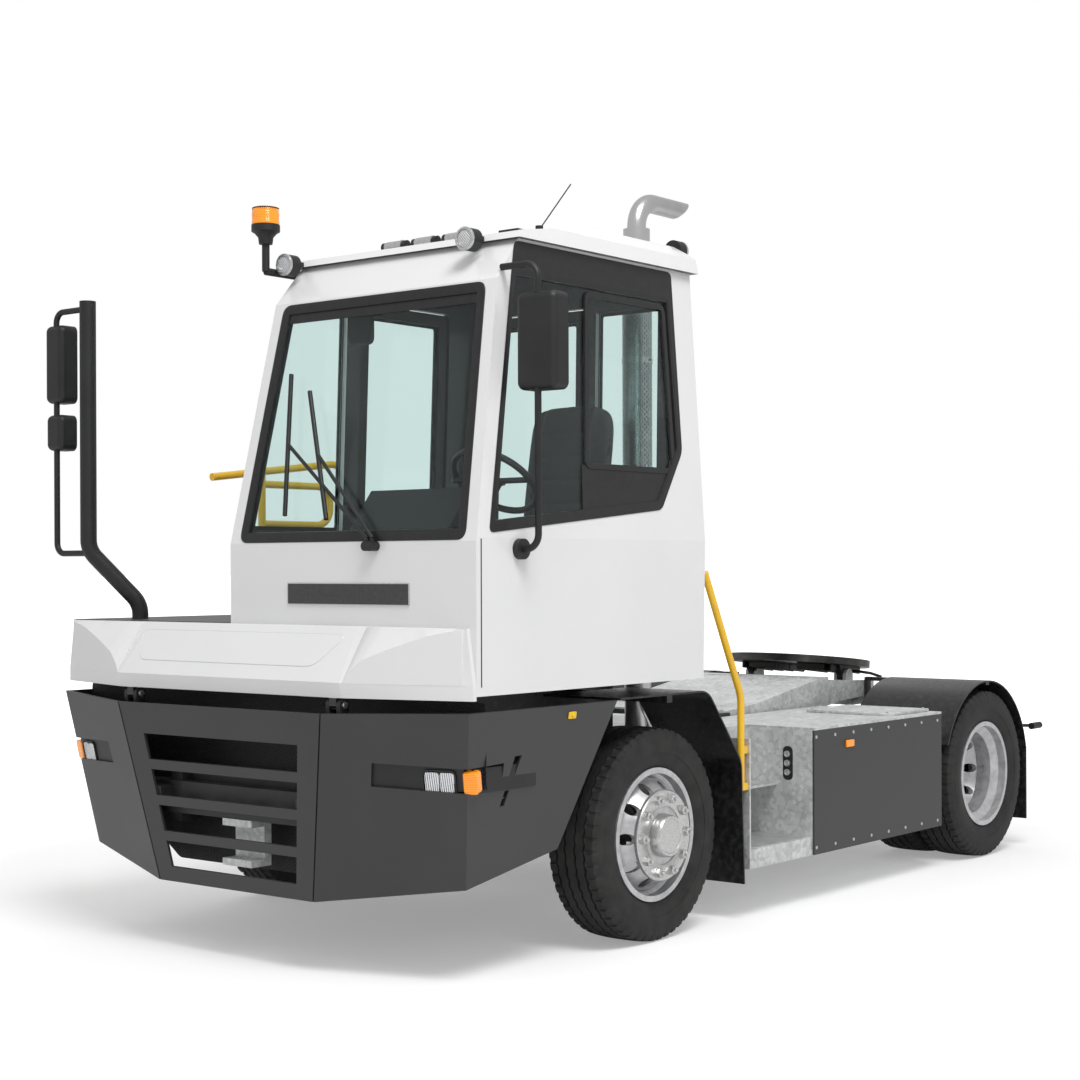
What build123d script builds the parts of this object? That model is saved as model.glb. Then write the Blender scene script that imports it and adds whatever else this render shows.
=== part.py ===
from build123d import *
from math import cos, radians, sin
import os

os.makedirs("parts", exist_ok=True)

# Driving sizes of the whole vehicle, in millimetres.
# X points forward, Y to the vehicle's left and Z up. The ground is at Z zero.
OVERALL_LENGTH = 5580.0
OVERALL_WIDTH = 2500.0
FRONT_OVERHANG = 1540.0
REAR_OVERHANG = 820.0
MIRROR_REACH = 1450.0
FIT_GAP = 0.3
PIN_CLEARANCE = 0.3
OVERRUN = 60.0

front_x = OVERALL_LENGTH / 2
rear_x = -OVERALL_LENGTH / 2
front_axle_x = front_x - FRONT_OVERHANG
rear_axle_x = rear_x + REAR_OVERHANG
half_width = OVERALL_WIDTH / 2


def side_plane(y):
    """A plane seen from the right: local x runs forward and local y runs up."""
    return Plane(origin=(0, y, 0), x_dir=(1, 0, 0), z_dir=(0, -1, 0))


def side_slab(points, y_low, y_high, mode=Mode.ADD, inset=0.0):
    """An outline of (x, z) points, drawn in by an inset, from y_low to y_high."""
    with BuildSketch(side_plane(y_high)) as profile:
        with BuildLine():
            Polyline(*points, close=True)
        make_face()
        if inset:
            offset(amount=-inset, kind=Kind.INTERSECTION)
    extrude(profile.sketch, amount=y_high - y_low, mode=mode)


def cross_slab(points, x_low, x_high, mode=Mode.ADD):
    """An outline of (y, z) points, carried forward from x_low to x_high."""
    with BuildSketch(Plane.YZ.offset(x_low)) as profile:
        with BuildLine():
            Polyline(*points, close=True)
        make_face()
    extrude(profile.sketch, amount=x_high - x_low, mode=mode)


def block(low, high, mode=Mode.ADD):
    """A square-edged block between two corners."""
    size = [b - a for a, b in zip(low, high)]
    middle = [(a + b) / 2 for a, b in zip(low, high)]
    with Locations(tuple(middle)):
        Box(*size, mode=mode)


def plan_slab(points, low, high):
    """An outline of (x, y) points, raised from one height to another."""
    with BuildSketch(Plane.XY.offset(low)) as profile:
        with BuildLine():
            Polyline(*points, close=True)
        make_face()
    extrude(profile.sketch, amount=high - low)


def bar(start, end, diameter, mode=Mode.ADD):
    """A round bar from one point to another."""
    run = Vector(*end) - Vector(*start)
    with BuildSketch(Plane(origin=start, z_dir=run)) as section:
        Circle(diameter / 2)
    extrude(section.sketch, amount=run.length, mode=mode)


def sleeve(start, end, outer, bore, mode=Mode.ADD):
    """A round sleeve with a bore right through."""
    run = Vector(*end) - Vector(*start)
    with BuildSketch(Plane(origin=start, z_dir=run)) as section:
        Circle(outer / 2)
        Circle(bore / 2, mode=Mode.SUBTRACT)
    extrude(section.sketch, amount=run.length, mode=mode)


def tube(points, diameter, bend):
    """A round tube along straight runs with the same bend at each corner."""
    with BuildLine() as route:
        FilletPolyline(*points, radius=bend)
    with BuildSketch(Plane(origin=route.line @ 0, z_dir=route.line % 0)) as section:
        Circle(diameter / 2)
    sweep(section.sketch, path=route.line)


def bent_sheet(points, wall, bend, y_low, y_high):
    """A sheet bent along (x, z) points, its wall on the left of the way they run."""
    with BuildSketch(side_plane(y_high)) as profile:
        with BuildLine():
            FilletPolyline(*points, radius=bend)
            offset(amount=wall, side=Side.LEFT)
        make_face()
    extrude(profile.sketch, amount=y_high - y_low)


def facet_point(corners, along, up):
    """A place on a four-cornered facet, by its shares along and up."""
    low = Vector(*corners[0]) * (1 - along) + Vector(*corners[1]) * along
    high = Vector(*corners[3]) * (1 - along) + Vector(*corners[2]) * along
    return low * (1 - up) + high * up


def facet(points, wall, mode=Mode.ADD, outward=0.0):
    """A flat plate through points in space, its wall behind the face they go round."""
    spots = [Vector(*p) for p in points]
    along = spots[1] - spots[0]
    normal = along.cross(spots[2] - spots[0]).normalized()
    face_plane = Plane(origin=spots[0] + normal * outward, x_dir=along, z_dir=normal)
    flat = [face_plane.to_local_coords(p) for p in spots]
    with BuildSketch(face_plane) as profile:
        with BuildLine():
            Polyline(*[(p.X, p.Y) for p in flat], close=True)
        make_face()
    extrude(profile.sketch, amount=-(wall + outward), mode=mode)


def scaled(shares, origin, size):
    """An outline from shares of a size, started at an origin."""
    return [(origin[0] + a * size[0], origin[1] + b * size[1]) for a, b in shares]


def finish_part(builder, name):
    """Labels a finished piece and writes it out."""
    builder.part.label = name
    export_step(builder.part, "parts/" + name + ".step")


# Frame rails, cross members and the brackets that they carry.
RAIL_SPREAD = 415.0
RAIL_WIDTH = 70.0
RAIL_HEIGHT = 220.0
RAIL_BOTTOM = 560.0
RAIL_FRONT_SETBACK = 150.0
RAIL_REAR_SETBACK = 275.0
CROSS_MEMBER_WIDTH = 90.0
CROSS_MEMBER_HEIGHT = 130.0
cross_member_shares = (0.02, 0.47, 0.55, 0.63, 0.985)

rail_top = RAIL_BOTTOM + RAIL_HEIGHT
rail_inner = RAIL_SPREAD - RAIL_WIDTH / 2
rail_outer = RAIL_SPREAD + RAIL_WIDTH / 2
rail_front = front_x - RAIL_FRONT_SETBACK
rail_rear = rear_x + RAIL_REAR_SETBACK

# The bumper is three flat faces that lean in towards the ground, and two sides.
BUMPER_WALL = 12.0
BUMPER_TOP = 1085.0
BUMPER_SIDE_TOP = 1100.0
BUMPER_BOTTOM = 300.0
BUMPER_CORNER_BOTTOM = 389.0
BUMPER_REAR_BOTTOM = 490.0
BUMPER_CENTER_TOP_HALF = 629.0
BUMPER_CENTER_BOTTOM_HALF = 477.0
BUMPER_LEAN = 107.0
BUMPER_CORNER_SETBACK = 174.0
BUMPER_CORNER_LEAN = 125.0
BUMPER_CORNER_TUCK = 109.0
BUMPER_SIDE_LENGTH = 992.0
BUMPER_REAR_SLANT = 300.0
SEAM = 8.0


def on_plane_x(a, b, c, y, z):
    """The point at y and z on the plane through three points."""
    normal = (Vector(*b) - Vector(*a)).cross(Vector(*c) - Vector(*a))
    return (a[0] - (normal.Y * (y - a[1]) + normal.Z * (z - a[2])) / normal.X, y, z)


def on_plane_y(a, b, c, x, z):
    """The point at x and z on the plane through three points."""
    normal = (Vector(*b) - Vector(*a)).cross(Vector(*c) - Vector(*a))
    return (x, a[1] - (normal.X * (x - a[0]) + normal.Z * (z - a[2])) / normal.Y, z)


bumper_top_center = (front_x, BUMPER_CENTER_TOP_HALF - SEAM / 2, BUMPER_TOP)
bumper_low_center = (front_x - BUMPER_LEAN, BUMPER_CENTER_BOTTOM_HALF - SEAM / 2, BUMPER_BOTTOM)
corner_top_inner = (front_x, BUMPER_CENTER_TOP_HALF + SEAM / 2, BUMPER_TOP)
corner_low_inner = (front_x - BUMPER_LEAN, BUMPER_CENTER_BOTTOM_HALF + SEAM / 2, BUMPER_BOTTOM)
corner_x = front_x - BUMPER_CORNER_SETBACK
corner_low_outer = (
    corner_x - BUMPER_CORNER_LEAN,
    half_width - BUMPER_CORNER_TUCK,
    BUMPER_CORNER_BOTTOM,
)
corner_top_outer = on_plane_x(
    corner_low_inner, corner_low_outer, corner_top_inner, half_width, BUMPER_SIDE_TOP
)
side_top_rear = (corner_x - BUMPER_SIDE_LENGTH, half_width, BUMPER_SIDE_TOP)
side_low_rear = on_plane_y(
    corner_low_outer,
    side_top_rear,
    corner_top_outer,
    side_top_rear[0] + BUMPER_REAR_SLANT,
    BUMPER_REAR_BOTTOM,
)
center_facet = (
    (bumper_low_center[0], -bumper_low_center[1], bumper_low_center[2]),
    bumper_low_center,
    bumper_top_center,
    (bumper_top_center[0], -bumper_top_center[1], bumper_top_center[2]),
)
corner_facet = (corner_low_inner, corner_low_outer, corner_top_outer, corner_top_inner)
side_facet = (corner_low_outer, side_low_rear, side_top_rear, corner_top_outer)

# Grille slots in the middle panel: shares of its width and height, low edge first.
slot_rows_shares = (
    # left, right, low, high
    (0.10, 0.90, 0.085, 0.230),
    (0.10, 0.90, 0.285, 0.430),
    (0.10, 0.90, 0.485, 0.630),
    (0.10, 0.90, 0.685, 0.830),
)

with BuildPart() as bumper_center:
    facet(center_facet, BUMPER_WALL)
    for left, right, low, high in slot_rows_shares:
        corners = [
            facet_point(center_facet, left, low),
            facet_point(center_facet, right, low),
            facet_point(center_facet, right, high),
            facet_point(center_facet, left, high),
        ]
        facet(corners, BUMPER_WALL + OVERRUN, Mode.SUBTRACT, OVERRUN)
finish_part(bumper_center, "bumper_center")

# The lamp recess goes round the corner of the bumper, with slanted vents behind it.
LAMP_RECESS_LOW = 780.0
LAMP_RECESS_HIGH = 880.0
lamp_recess_start_share = 0.36
lamp_recess_end_share = 0.26
vent_windows_shares = (
    # along low edge start and end, along high edge start and end, low, high
    (0.300, 0.345, 0.335, 0.385, 0.56, 0.72),
    (0.265, 0.300, 0.290, 0.325, 0.43, 0.52),
)


def facet_up_share(corners, height):
    """The share up a facet's near edge at which it reaches a height."""
    low = corners[0][2]
    return (height - low) / (corners[3][2] - low)


corner_low_share = facet_up_share(corner_facet, LAMP_RECESS_LOW)
corner_high_share = facet_up_share(corner_facet, LAMP_RECESS_HIGH)
side_low_share = facet_up_share(side_facet, LAMP_RECESS_LOW)
side_high_share = facet_up_share(side_facet, LAMP_RECESS_HIGH)
edge_low_share = (LAMP_RECESS_LOW - corner_low_outer[2]) / (corner_top_outer[2] - corner_low_outer[2])
edge_high_share = (LAMP_RECESS_HIGH - corner_low_outer[2]) / (corner_top_outer[2] - corner_low_outer[2])

with BuildPart() as bumper_corners:
    facet(corner_facet, BUMPER_WALL)
    facet(side_facet, BUMPER_WALL)
    recess = [
        facet_point(corner_facet, lamp_recess_start_share, corner_low_share),
        facet_point(corner_facet, 1, edge_low_share),
        facet_point(corner_facet, 1, edge_high_share),
        facet_point(corner_facet, lamp_recess_start_share, corner_high_share),
    ]
    facet(recess, BUMPER_WALL + OVERRUN, Mode.SUBTRACT, OVERRUN)
    recess = [
        facet_point(side_facet, 0, edge_low_share),
        facet_point(side_facet, lamp_recess_end_share, side_low_share),
        facet_point(side_facet, lamp_recess_end_share, side_high_share),
        facet_point(side_facet, 0, edge_high_share),
    ]
    facet(recess, BUMPER_WALL + OVERRUN, Mode.SUBTRACT, OVERRUN)
    for low_a, low_b, high_a, high_b, low, high in vent_windows_shares:
        vent = [
            facet_point(side_facet, low_a, low),
            facet_point(side_facet, low_b, low),
            facet_point(side_facet, high_b, high),
            facet_point(side_facet, high_a, high),
        ]
        facet(vent, BUMPER_WALL + OVERRUN, Mode.SUBTRACT, OVERRUN)
    mirror(about=Plane.XZ)
finish_part(bumper_corners, "bumper_corners")

# Cab outline, seen from the side and from the front.
CAB_FRONT_SETBACK = 240.0
CAB_LENGTH = 1590.0
CAB_REAR_LEAN = 40.0
CAB_BASE = 1165.0
CAB_WAIST = 1790.0
CAB_BROW_SETBACK = 235.0
CAB_BROW = 2840.0
CAB_TOP = 3020.0
CAB_ROOF_SETBACK = 390.0
CAB_WALL = 40.0
CAB_RIGHT = 160.0
CAB_TUMBLE_LEFT = 100.0
CAB_TUMBLE_RIGHT = 50.0
WINDSCREEN_BASE = 1776.0
FLOOR_THICKNESS = 40.0
GLASS = 8.0
GLASS_SEAT = 16.0

cab_front = front_x - CAB_FRONT_SETBACK
cab_rear = cab_front - CAB_LENGTH
cab_left = half_width
cab_right = -CAB_RIGHT
cab_top_left = cab_left - CAB_TUMBLE_LEFT
cab_top_right = cab_right + CAB_TUMBLE_RIGHT
brow_x = cab_front - CAB_BROW_SETBACK
roof_front_x = cab_front - CAB_ROOF_SETBACK
cab_rear_top = cab_rear - CAB_REAR_LEAN
cab_side_outline = [
    (cab_rear, CAB_BASE),
    (cab_front, CAB_BASE),
    (cab_front, WINDSCREEN_BASE),
    (brow_x, CAB_BROW),
    (roof_front_x, CAB_TOP),
    (cab_rear_top, CAB_TOP),
]


def cab_y_at(height, left):
    """The outer face of a cab side at a height."""
    rise = max(0.0, (height - CAB_WAIST) / (CAB_TOP - CAB_WAIST))
    if left:
        return cab_left - CAB_TUMBLE_LEFT * rise
    return cab_right + CAB_TUMBLE_RIGHT * rise


def windscreen_x_at(height):
    """The outer face of the windscreen at a height."""
    rise = (height - WINDSCREEN_BASE) / (CAB_BROW - WINDSCREEN_BASE)
    return cab_front - CAB_BROW_SETBACK * rise


def rear_x_at(height):
    """The outer face of the cab's rear wall at a height."""
    return cab_rear - CAB_REAR_LEAN * (height - CAB_BASE) / (CAB_TOP - CAB_BASE)


def wall_section(left, outer_inset, inner_inset):
    """A cab side in cross-section, between two depths behind its outer face."""
    sign = -1 if left else 1
    edge = [(cab_y_at(z, left), z) for z in (CAB_BASE, CAB_WAIST, CAB_TOP)]
    outer = [(y + sign * outer_inset, z) for y, z in edge]
    inner = [(y + sign * inner_inset, z) for y, z in edge]
    return outer + inner[::-1]


inside_section = [
    (cab_right + CAB_WALL, CAB_BASE),
    (cab_left - CAB_WALL, CAB_BASE),
    (cab_left - CAB_WALL, CAB_WAIST),
    (cab_top_left - CAB_WALL, CAB_TOP),
    (cab_top_right + CAB_WALL, CAB_TOP),
    (cab_right + CAB_WALL, CAB_WAIST),
]

# Side window of the driver's side: its lower edge falls from the rear to the front.
LEFT_WINDOW_PILLAR = 95.0
LEFT_WINDOW_HEAD = 2890.0
LEFT_WINDOW_SILL = 1840.0
LEFT_WINDOW_REAR_SETBACK = 150.0
LEFT_WINDOW_REAR_SILL = 2200.0
LEFT_WINDOW_SILL_END = 330.0
LEFT_WINDOW_SILL_RISE = 110.0

left_window = [
    (windscreen_x_at(LEFT_WINDOW_SILL) - LEFT_WINDOW_PILLAR, LEFT_WINDOW_SILL),
    (windscreen_x_at(LEFT_WINDOW_HEAD) - LEFT_WINDOW_PILLAR, LEFT_WINDOW_HEAD),
    (cab_rear + LEFT_WINDOW_REAR_SETBACK, LEFT_WINDOW_HEAD),
    (cab_rear + LEFT_WINDOW_REAR_SETBACK, LEFT_WINDOW_REAR_SILL),
    (cab_rear + LEFT_WINDOW_SILL_END, LEFT_WINDOW_SILL + LEFT_WINDOW_SILL_RISE),
]

with BuildPart() as cab_left_side:
    side_slab(cab_side_outline, cab_top_left - CAB_WALL, cab_left)
    cross_slab(wall_section(True, 0.0, CAB_WALL), cab_rear_top, cab_front, Mode.INTERSECT)
    side_slab(left_window, cab_top_left - CAB_WALL - OVERRUN, cab_left + OVERRUN, Mode.SUBTRACT)
finish_part(cab_left_side, "cab_left_side")

# Doors: a frame round a pane, hung on two knuckles outside the wall.
DOOR_FRAME = 55.0
DOOR_KICK_PANEL = 420.0
DOOR_DEPTH = 30.0
HINGE_DIAMETER = 24.0
HINGE_LENGTH = 70.0
HINGE_STAND_OFF = 18.0
HINGE_PLAY = 0.5
HINGE_PIN = 12.0
HINGE_FOOT = 28.0
HINGE_GAP = 2.0
HANDLE_DIAMETER = 18.0
HANDLE_LENGTH = 170.0
HANDLE_STAND_OFF = 45.0
HANDLE_HEIGHT = 1790.0
hinge_height_shares = (0.12, 0.84)


def hinge_heights(low, high):
    """The middle heights of a door's hinges."""
    return [low + share * (high - low) for share in hinge_height_shares]


def hinge_foot(pin, side, depth, low, high, rear=False):
    """A hinge half's foot: from the pin to one side, then into the panel."""
    radius = HINGE_DIAMETER / 2
    outline = [
        (0, -radius),
        (side * HINGE_FOOT, -radius),
        (side * HINGE_FOOT, depth),
        (side * radius, depth),
        (side * radius, radius),
        (0, radius),
    ]
    if rear:
        outline = [(b, a) for a, b in outline]
    plan_slab([(pin[0] + a, pin[1] + b) for a, b in outline], low, high)


def fixed_hinge(pin, side, depth, height, rear=False):
    """The half on the cab: its foot, its lower barrel and the pin."""
    low, middle, high = height - HINGE_LENGTH / 2, height - HINGE_GAP, height + HINGE_LENGTH / 2
    hinge_foot(pin, side, depth, low, middle, rear)
    bar((*pin, low), (*pin, middle), HINGE_DIAMETER)
    bar((*pin, low), (*pin, high), HINGE_PIN)


def door_hinge(pin, side, depth, height, rear=False):
    """The half on the door: its foot and its bored upper barrel."""
    low, high = height, height + HINGE_LENGTH / 2
    hinge_foot(pin, side, depth, low, high, rear)
    bar((*pin, low), (*pin, high), HINGE_DIAMETER)
    bar((*pin, low - HINGE_GAP), (*pin, high + HINGE_GAP), HINGE_PIN + 2 * HINGE_PLAY, Mode.SUBTRACT)


def handle(x, y, out_x, out_y, into):
    """An upright grip on two stand-offs that go into a leaf."""
    grip_x, grip_y = x + out_x * HANDLE_STAND_OFF, y + out_y * HANDLE_STAND_OFF
    low, high = HANDLE_HEIGHT, HANDLE_HEIGHT + HANDLE_LENGTH
    bar((grip_x, grip_y, low), (grip_x, grip_y, high), HANDLE_DIAMETER)
    for height in (low + HANDLE_DIAMETER, high - HANDLE_DIAMETER):
        foot = (x - out_x * into, y - out_y * into, height)
        bar(foot, (grip_x, grip_y, height), HANDLE_DIAMETER)


# Right side: a fixed window in front and an outward door behind its pillar.
RIGHT_WINDOW_PILLAR = 90.0
RIGHT_WINDOW_REAR_SETBACK = 650.0
RIGHT_WINDOW_SILL = 1840.0
RIGHT_WINDOW_HEAD = 2860.0
RIGHT_DOOR_FRONT_SETBACK = 750.0
RIGHT_DOOR_REAR_SETBACK = 1350.0
RIGHT_DOOR_SILL = 1460.0
RIGHT_DOOR_HEAD = 2900.0
DOOR_GAP = 8.0

right_window = [
    (windscreen_x_at(RIGHT_WINDOW_SILL) - RIGHT_WINDOW_PILLAR, RIGHT_WINDOW_SILL),
    (windscreen_x_at(RIGHT_WINDOW_HEAD) - RIGHT_WINDOW_PILLAR, RIGHT_WINDOW_HEAD),
    (cab_front - RIGHT_WINDOW_REAR_SETBACK, RIGHT_WINDOW_HEAD),
    (cab_front - RIGHT_WINDOW_REAR_SETBACK, RIGHT_WINDOW_SILL),
]
right_door_front = cab_front - RIGHT_DOOR_FRONT_SETBACK
right_door_rear = cab_front - RIGHT_DOOR_REAR_SETBACK


def rectangle(low_a, high_a, low_b, high_b):
    """The four corners of an upright rectangle."""
    return [(low_a, low_b), (high_a, low_b), (high_a, high_b), (low_a, high_b)]


right_door_hole = rectangle(
    right_door_rear - DOOR_GAP,
    right_door_front + DOOR_GAP,
    RIGHT_DOOR_SILL - DOOR_GAP,
    RIGHT_DOOR_HEAD + DOOR_GAP,
)

right_door_pin = (right_door_front + DOOR_GAP / 2, cab_right - HINGE_STAND_OFF)
with BuildPart() as cab_right_side:
    side_slab(cab_side_outline, cab_right, cab_top_right + CAB_WALL)
    cross_slab(wall_section(False, 0.0, CAB_WALL), cab_rear_top, cab_front, Mode.INTERSECT)
    for hole in (right_window, right_door_hole):
        side_slab(hole, cab_right - OVERRUN, cab_top_right + CAB_WALL + OVERRUN, Mode.SUBTRACT)
    for height in hinge_heights(RIGHT_DOOR_SILL, RIGHT_DOOR_HEAD):
        depth = cab_y_at(height, False) + CAB_WALL / 2 - right_door_pin[1]
        fixed_hinge(right_door_pin, 1, depth, height)
finish_part(cab_right_side, "cab_right_side")

right_door_outline = rectangle(right_door_rear, right_door_front, RIGHT_DOOR_SILL, RIGHT_DOOR_HEAD)
right_door_pane = rectangle(
    right_door_rear + DOOR_FRAME,
    right_door_front - DOOR_FRAME,
    RIGHT_DOOR_SILL + DOOR_KICK_PANEL,
    RIGHT_DOOR_HEAD - DOOR_FRAME,
)


def right_leaf(points, outer_inset, inner_inset):
    """A flat leaf in the right wall, between two depths behind its outer face."""
    side_slab(points, cab_right - OVERRUN, cab_top_right + CAB_WALL + OVERRUN)
    section = wall_section(False, outer_inset, inner_inset)
    cross_slab(section, cab_rear_top - OVERRUN, cab_front, Mode.INTERSECT)


with BuildPart() as right_door:
    right_leaf(right_door_outline, 0.0, DOOR_DEPTH)
    side_slab(
        right_door_pane, cab_right - OVERRUN, cab_top_right + CAB_WALL + OVERRUN, Mode.SUBTRACT
    )
    for height in hinge_heights(RIGHT_DOOR_SILL, RIGHT_DOOR_HEAD):
        depth = cab_y_at(height, False) + DOOR_DEPTH / 2 - right_door_pin[1]
        door_hinge(right_door_pin, -1, depth, height)
    handle(right_door_rear + DOOR_FRAME / 2, cab_y_at(HANDLE_HEIGHT, False), 0, -1, DOOR_DEPTH / 2)
finish_part(right_door, "right_door")

with BuildPart() as right_door_glass:
    right_leaf(
        rectangle(
            right_door_pane[0][0] + FIT_GAP,
            right_door_pane[1][0] - FIT_GAP,
            right_door_pane[0][1] + FIT_GAP,
            right_door_pane[2][1] - FIT_GAP,
        ),
        GLASS_SEAT - GLASS,
        GLASS_SEAT,
    )
finish_part(right_door_glass, "right_door_glass")

# Rear wall with the door to the rear deck and a fixed window beside it.
REAR_DOOR_RIGHT_INSET = 110.0
REAR_DOOR_WIDTH = 620.0
REAR_DOOR_SILL = 1215.0
REAR_DOOR_HEAD = 2900.0
REAR_WINDOW_GAP = 70.0
REAR_WINDOW_LEFT_INSET = 150.0
REAR_WINDOW_SILL = 1900.0
REAR_WINDOW_HEAD = 2880.0

rear_door_right = cab_right + REAR_DOOR_RIGHT_INSET
rear_door_left = rear_door_right + REAR_DOOR_WIDTH
rear_window_right = rear_door_left + REAR_WINDOW_GAP
rear_window_left = cab_left - REAR_WINDOW_LEFT_INSET - CAB_TUMBLE_LEFT


def rear_wall_profile(outer_inset, inner_inset, low, high):
    """The rear wall seen from the side, between two depths behind its outer face."""
    return [
        (rear_x_at(low) + outer_inset, low),
        (rear_x_at(low) + inner_inset, low),
        (rear_x_at(high) + inner_inset, high),
        (rear_x_at(high) + outer_inset, high),
    ]


rear_cut_low = cab_rear_top - OVERRUN
rear_cut_high = cab_rear + CAB_WALL + OVERRUN
rear_door_hole = rectangle(
    rear_door_right - DOOR_GAP,
    rear_door_left + DOOR_GAP,
    REAR_DOOR_SILL - DOOR_GAP,
    REAR_DOOR_HEAD + DOOR_GAP,
)
rear_window = rectangle(rear_window_right, rear_window_left, REAR_WINDOW_SILL, REAR_WINDOW_HEAD)

rear_door_pin = (
    rear_x_at(hinge_heights(REAR_DOOR_SILL, REAR_DOOR_HEAD)[-1]) - HINGE_STAND_OFF,
    rear_door_right - DOOR_GAP / 2,
)
with BuildPart() as cab_rear_wall:
    side_slab(rear_wall_profile(0.0, CAB_WALL, CAB_BASE, CAB_TOP), cab_right, cab_left)
    cross_slab(inside_section, rear_cut_low, rear_cut_high, Mode.INTERSECT)
    for hole in (rear_door_hole, rear_window):
        cross_slab(hole, rear_cut_low, rear_cut_high, Mode.SUBTRACT)
    for height in hinge_heights(REAR_DOOR_SILL, REAR_DOOR_HEAD):
        depth = rear_x_at(height) + CAB_WALL / 2 - rear_door_pin[0]
        fixed_hinge(rear_door_pin, -1, depth, height, rear=True)
finish_part(cab_rear_wall, "cab_rear_wall")

rear_door_pane = rectangle(
    rear_door_right + DOOR_FRAME,
    rear_door_left - DOOR_FRAME,
    REAR_DOOR_SILL + DOOR_KICK_PANEL,
    REAR_DOOR_HEAD - DOOR_FRAME,
)

with BuildPart() as rear_door:
    side_slab(
        rear_wall_profile(0.0, DOOR_DEPTH, REAR_DOOR_SILL, REAR_DOOR_HEAD),
        rear_door_right,
        rear_door_left,
    )
    cross_slab(rear_door_pane, rear_cut_low, rear_cut_high, Mode.SUBTRACT)
    for height in hinge_heights(REAR_DOOR_SILL, REAR_DOOR_HEAD):
        depth = rear_x_at(height) + DOOR_DEPTH / 2 - rear_door_pin[0]
        door_hinge(rear_door_pin, 1, depth, height, rear=True)
    handle(rear_x_at(HANDLE_HEIGHT), rear_door_left - DOOR_FRAME / 2, -1, 0, DOOR_DEPTH / 2)
finish_part(rear_door, "rear_door")

with BuildPart() as rear_door_glass:
    pane_low = rear_door_pane[0][1] + FIT_GAP
    pane_high = rear_door_pane[2][1] - FIT_GAP
    side_slab(
        rear_wall_profile(GLASS_SEAT - GLASS, GLASS_SEAT, pane_low, pane_high),
        rear_door_pane[0][0] + FIT_GAP,
        rear_door_pane[1][0] - FIT_GAP,
    )
finish_part(rear_door_glass, "rear_door_glass")

# Front wall, with the windscreen opening above the cowl.
WINDSCREEN_SIDE_INSET = 68.0
WINDSCREEN_HEAD = 2820.0

windscreen_low = WINDSCREEN_BASE + GLASS_SEAT
front_wall_profile = [
    (cab_front, CAB_BASE),
    (cab_front, WINDSCREEN_BASE),
    (brow_x, CAB_BROW),
    (roof_front_x, CAB_TOP),
    (roof_front_x - CAB_WALL, CAB_TOP),
    (brow_x - CAB_WALL, CAB_BROW),
    (cab_front - CAB_WALL, WINDSCREEN_BASE),
    (cab_front - CAB_WALL, CAB_BASE),
]


def screen_section(inset):
    """The windscreen seen from the front, its edges set in from the cab sides."""
    low, high = windscreen_low + inset, WINDSCREEN_HEAD - inset
    side = WINDSCREEN_SIDE_INSET + inset
    return [
        (cab_y_at(low, False) + side, low),
        (cab_y_at(low, True) - side, low),
        (cab_y_at(high, True) - side, high),
        (cab_y_at(high, False) + side, high),
    ]


with BuildPart() as cab_front_panel:
    side_slab(front_wall_profile, cab_right, cab_left)
    cross_slab(inside_section, brow_x - OVERRUN - CAB_ROOF_SETBACK, cab_front + OVERRUN, Mode.INTERSECT)
    cross_slab(screen_section(0.0), brow_x - OVERRUN - CAB_WALL, cab_front + OVERRUN, Mode.SUBTRACT)
finish_part(cab_front_panel, "cab_front_panel")

# Fixed panes: windscreen, driver's side window, right front window and rear window.
screen = [
    (windscreen_x_at(windscreen_low) - GLASS_SEAT + GLASS, windscreen_low),
    (windscreen_x_at(WINDSCREEN_HEAD) - GLASS_SEAT + GLASS, WINDSCREEN_HEAD),
    (windscreen_x_at(WINDSCREEN_HEAD) - GLASS_SEAT, WINDSCREEN_HEAD),
    (windscreen_x_at(windscreen_low) - GLASS_SEAT, windscreen_low),
]
with BuildPart() as windscreen:
    side_slab(screen, cab_right, cab_left)
    cross_slab(screen_section(FIT_GAP), brow_x - OVERRUN, cab_front, Mode.INTERSECT)

with BuildPart() as left_pane:
    side_slab(left_window, cab_top_left - CAB_WALL, cab_left, Mode.ADD, FIT_GAP)
    section = wall_section(True, GLASS_SEAT - GLASS, GLASS_SEAT)
    cross_slab(section, cab_rear_top - OVERRUN, cab_front, Mode.INTERSECT)

with BuildPart() as right_pane:
    side_slab(right_window, cab_right, cab_top_right + CAB_WALL, Mode.ADD, FIT_GAP)
    section = wall_section(False, GLASS_SEAT - GLASS, GLASS_SEAT)
    cross_slab(section, cab_rear_top - OVERRUN, cab_front, Mode.INTERSECT)

with BuildPart() as rear_pane:
    side_slab(
        rear_wall_profile(
            GLASS_SEAT - GLASS, GLASS_SEAT, REAR_WINDOW_SILL + FIT_GAP, REAR_WINDOW_HEAD - FIT_GAP
        ),
        rear_window_right + FIT_GAP,
        rear_window_left - FIT_GAP,
    )

with BuildPart() as cab_glass:
    add(windscreen.part)
    add(left_pane.part)
    add(right_pane.part)
    add(rear_pane.part)
finish_part(cab_glass, "cab_glass")

# Cab floor, and the roof shell with its brow and its cut front corners.
ROOF_RISE = 135.0
ROOF_CHAMFER = 90.0
ROOF_LIP = 30.0
ROOF_FLAT_SETBACK = 640.0
BROW_RISE = 34.0
CEILING_THICKNESS = 35.0

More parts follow.
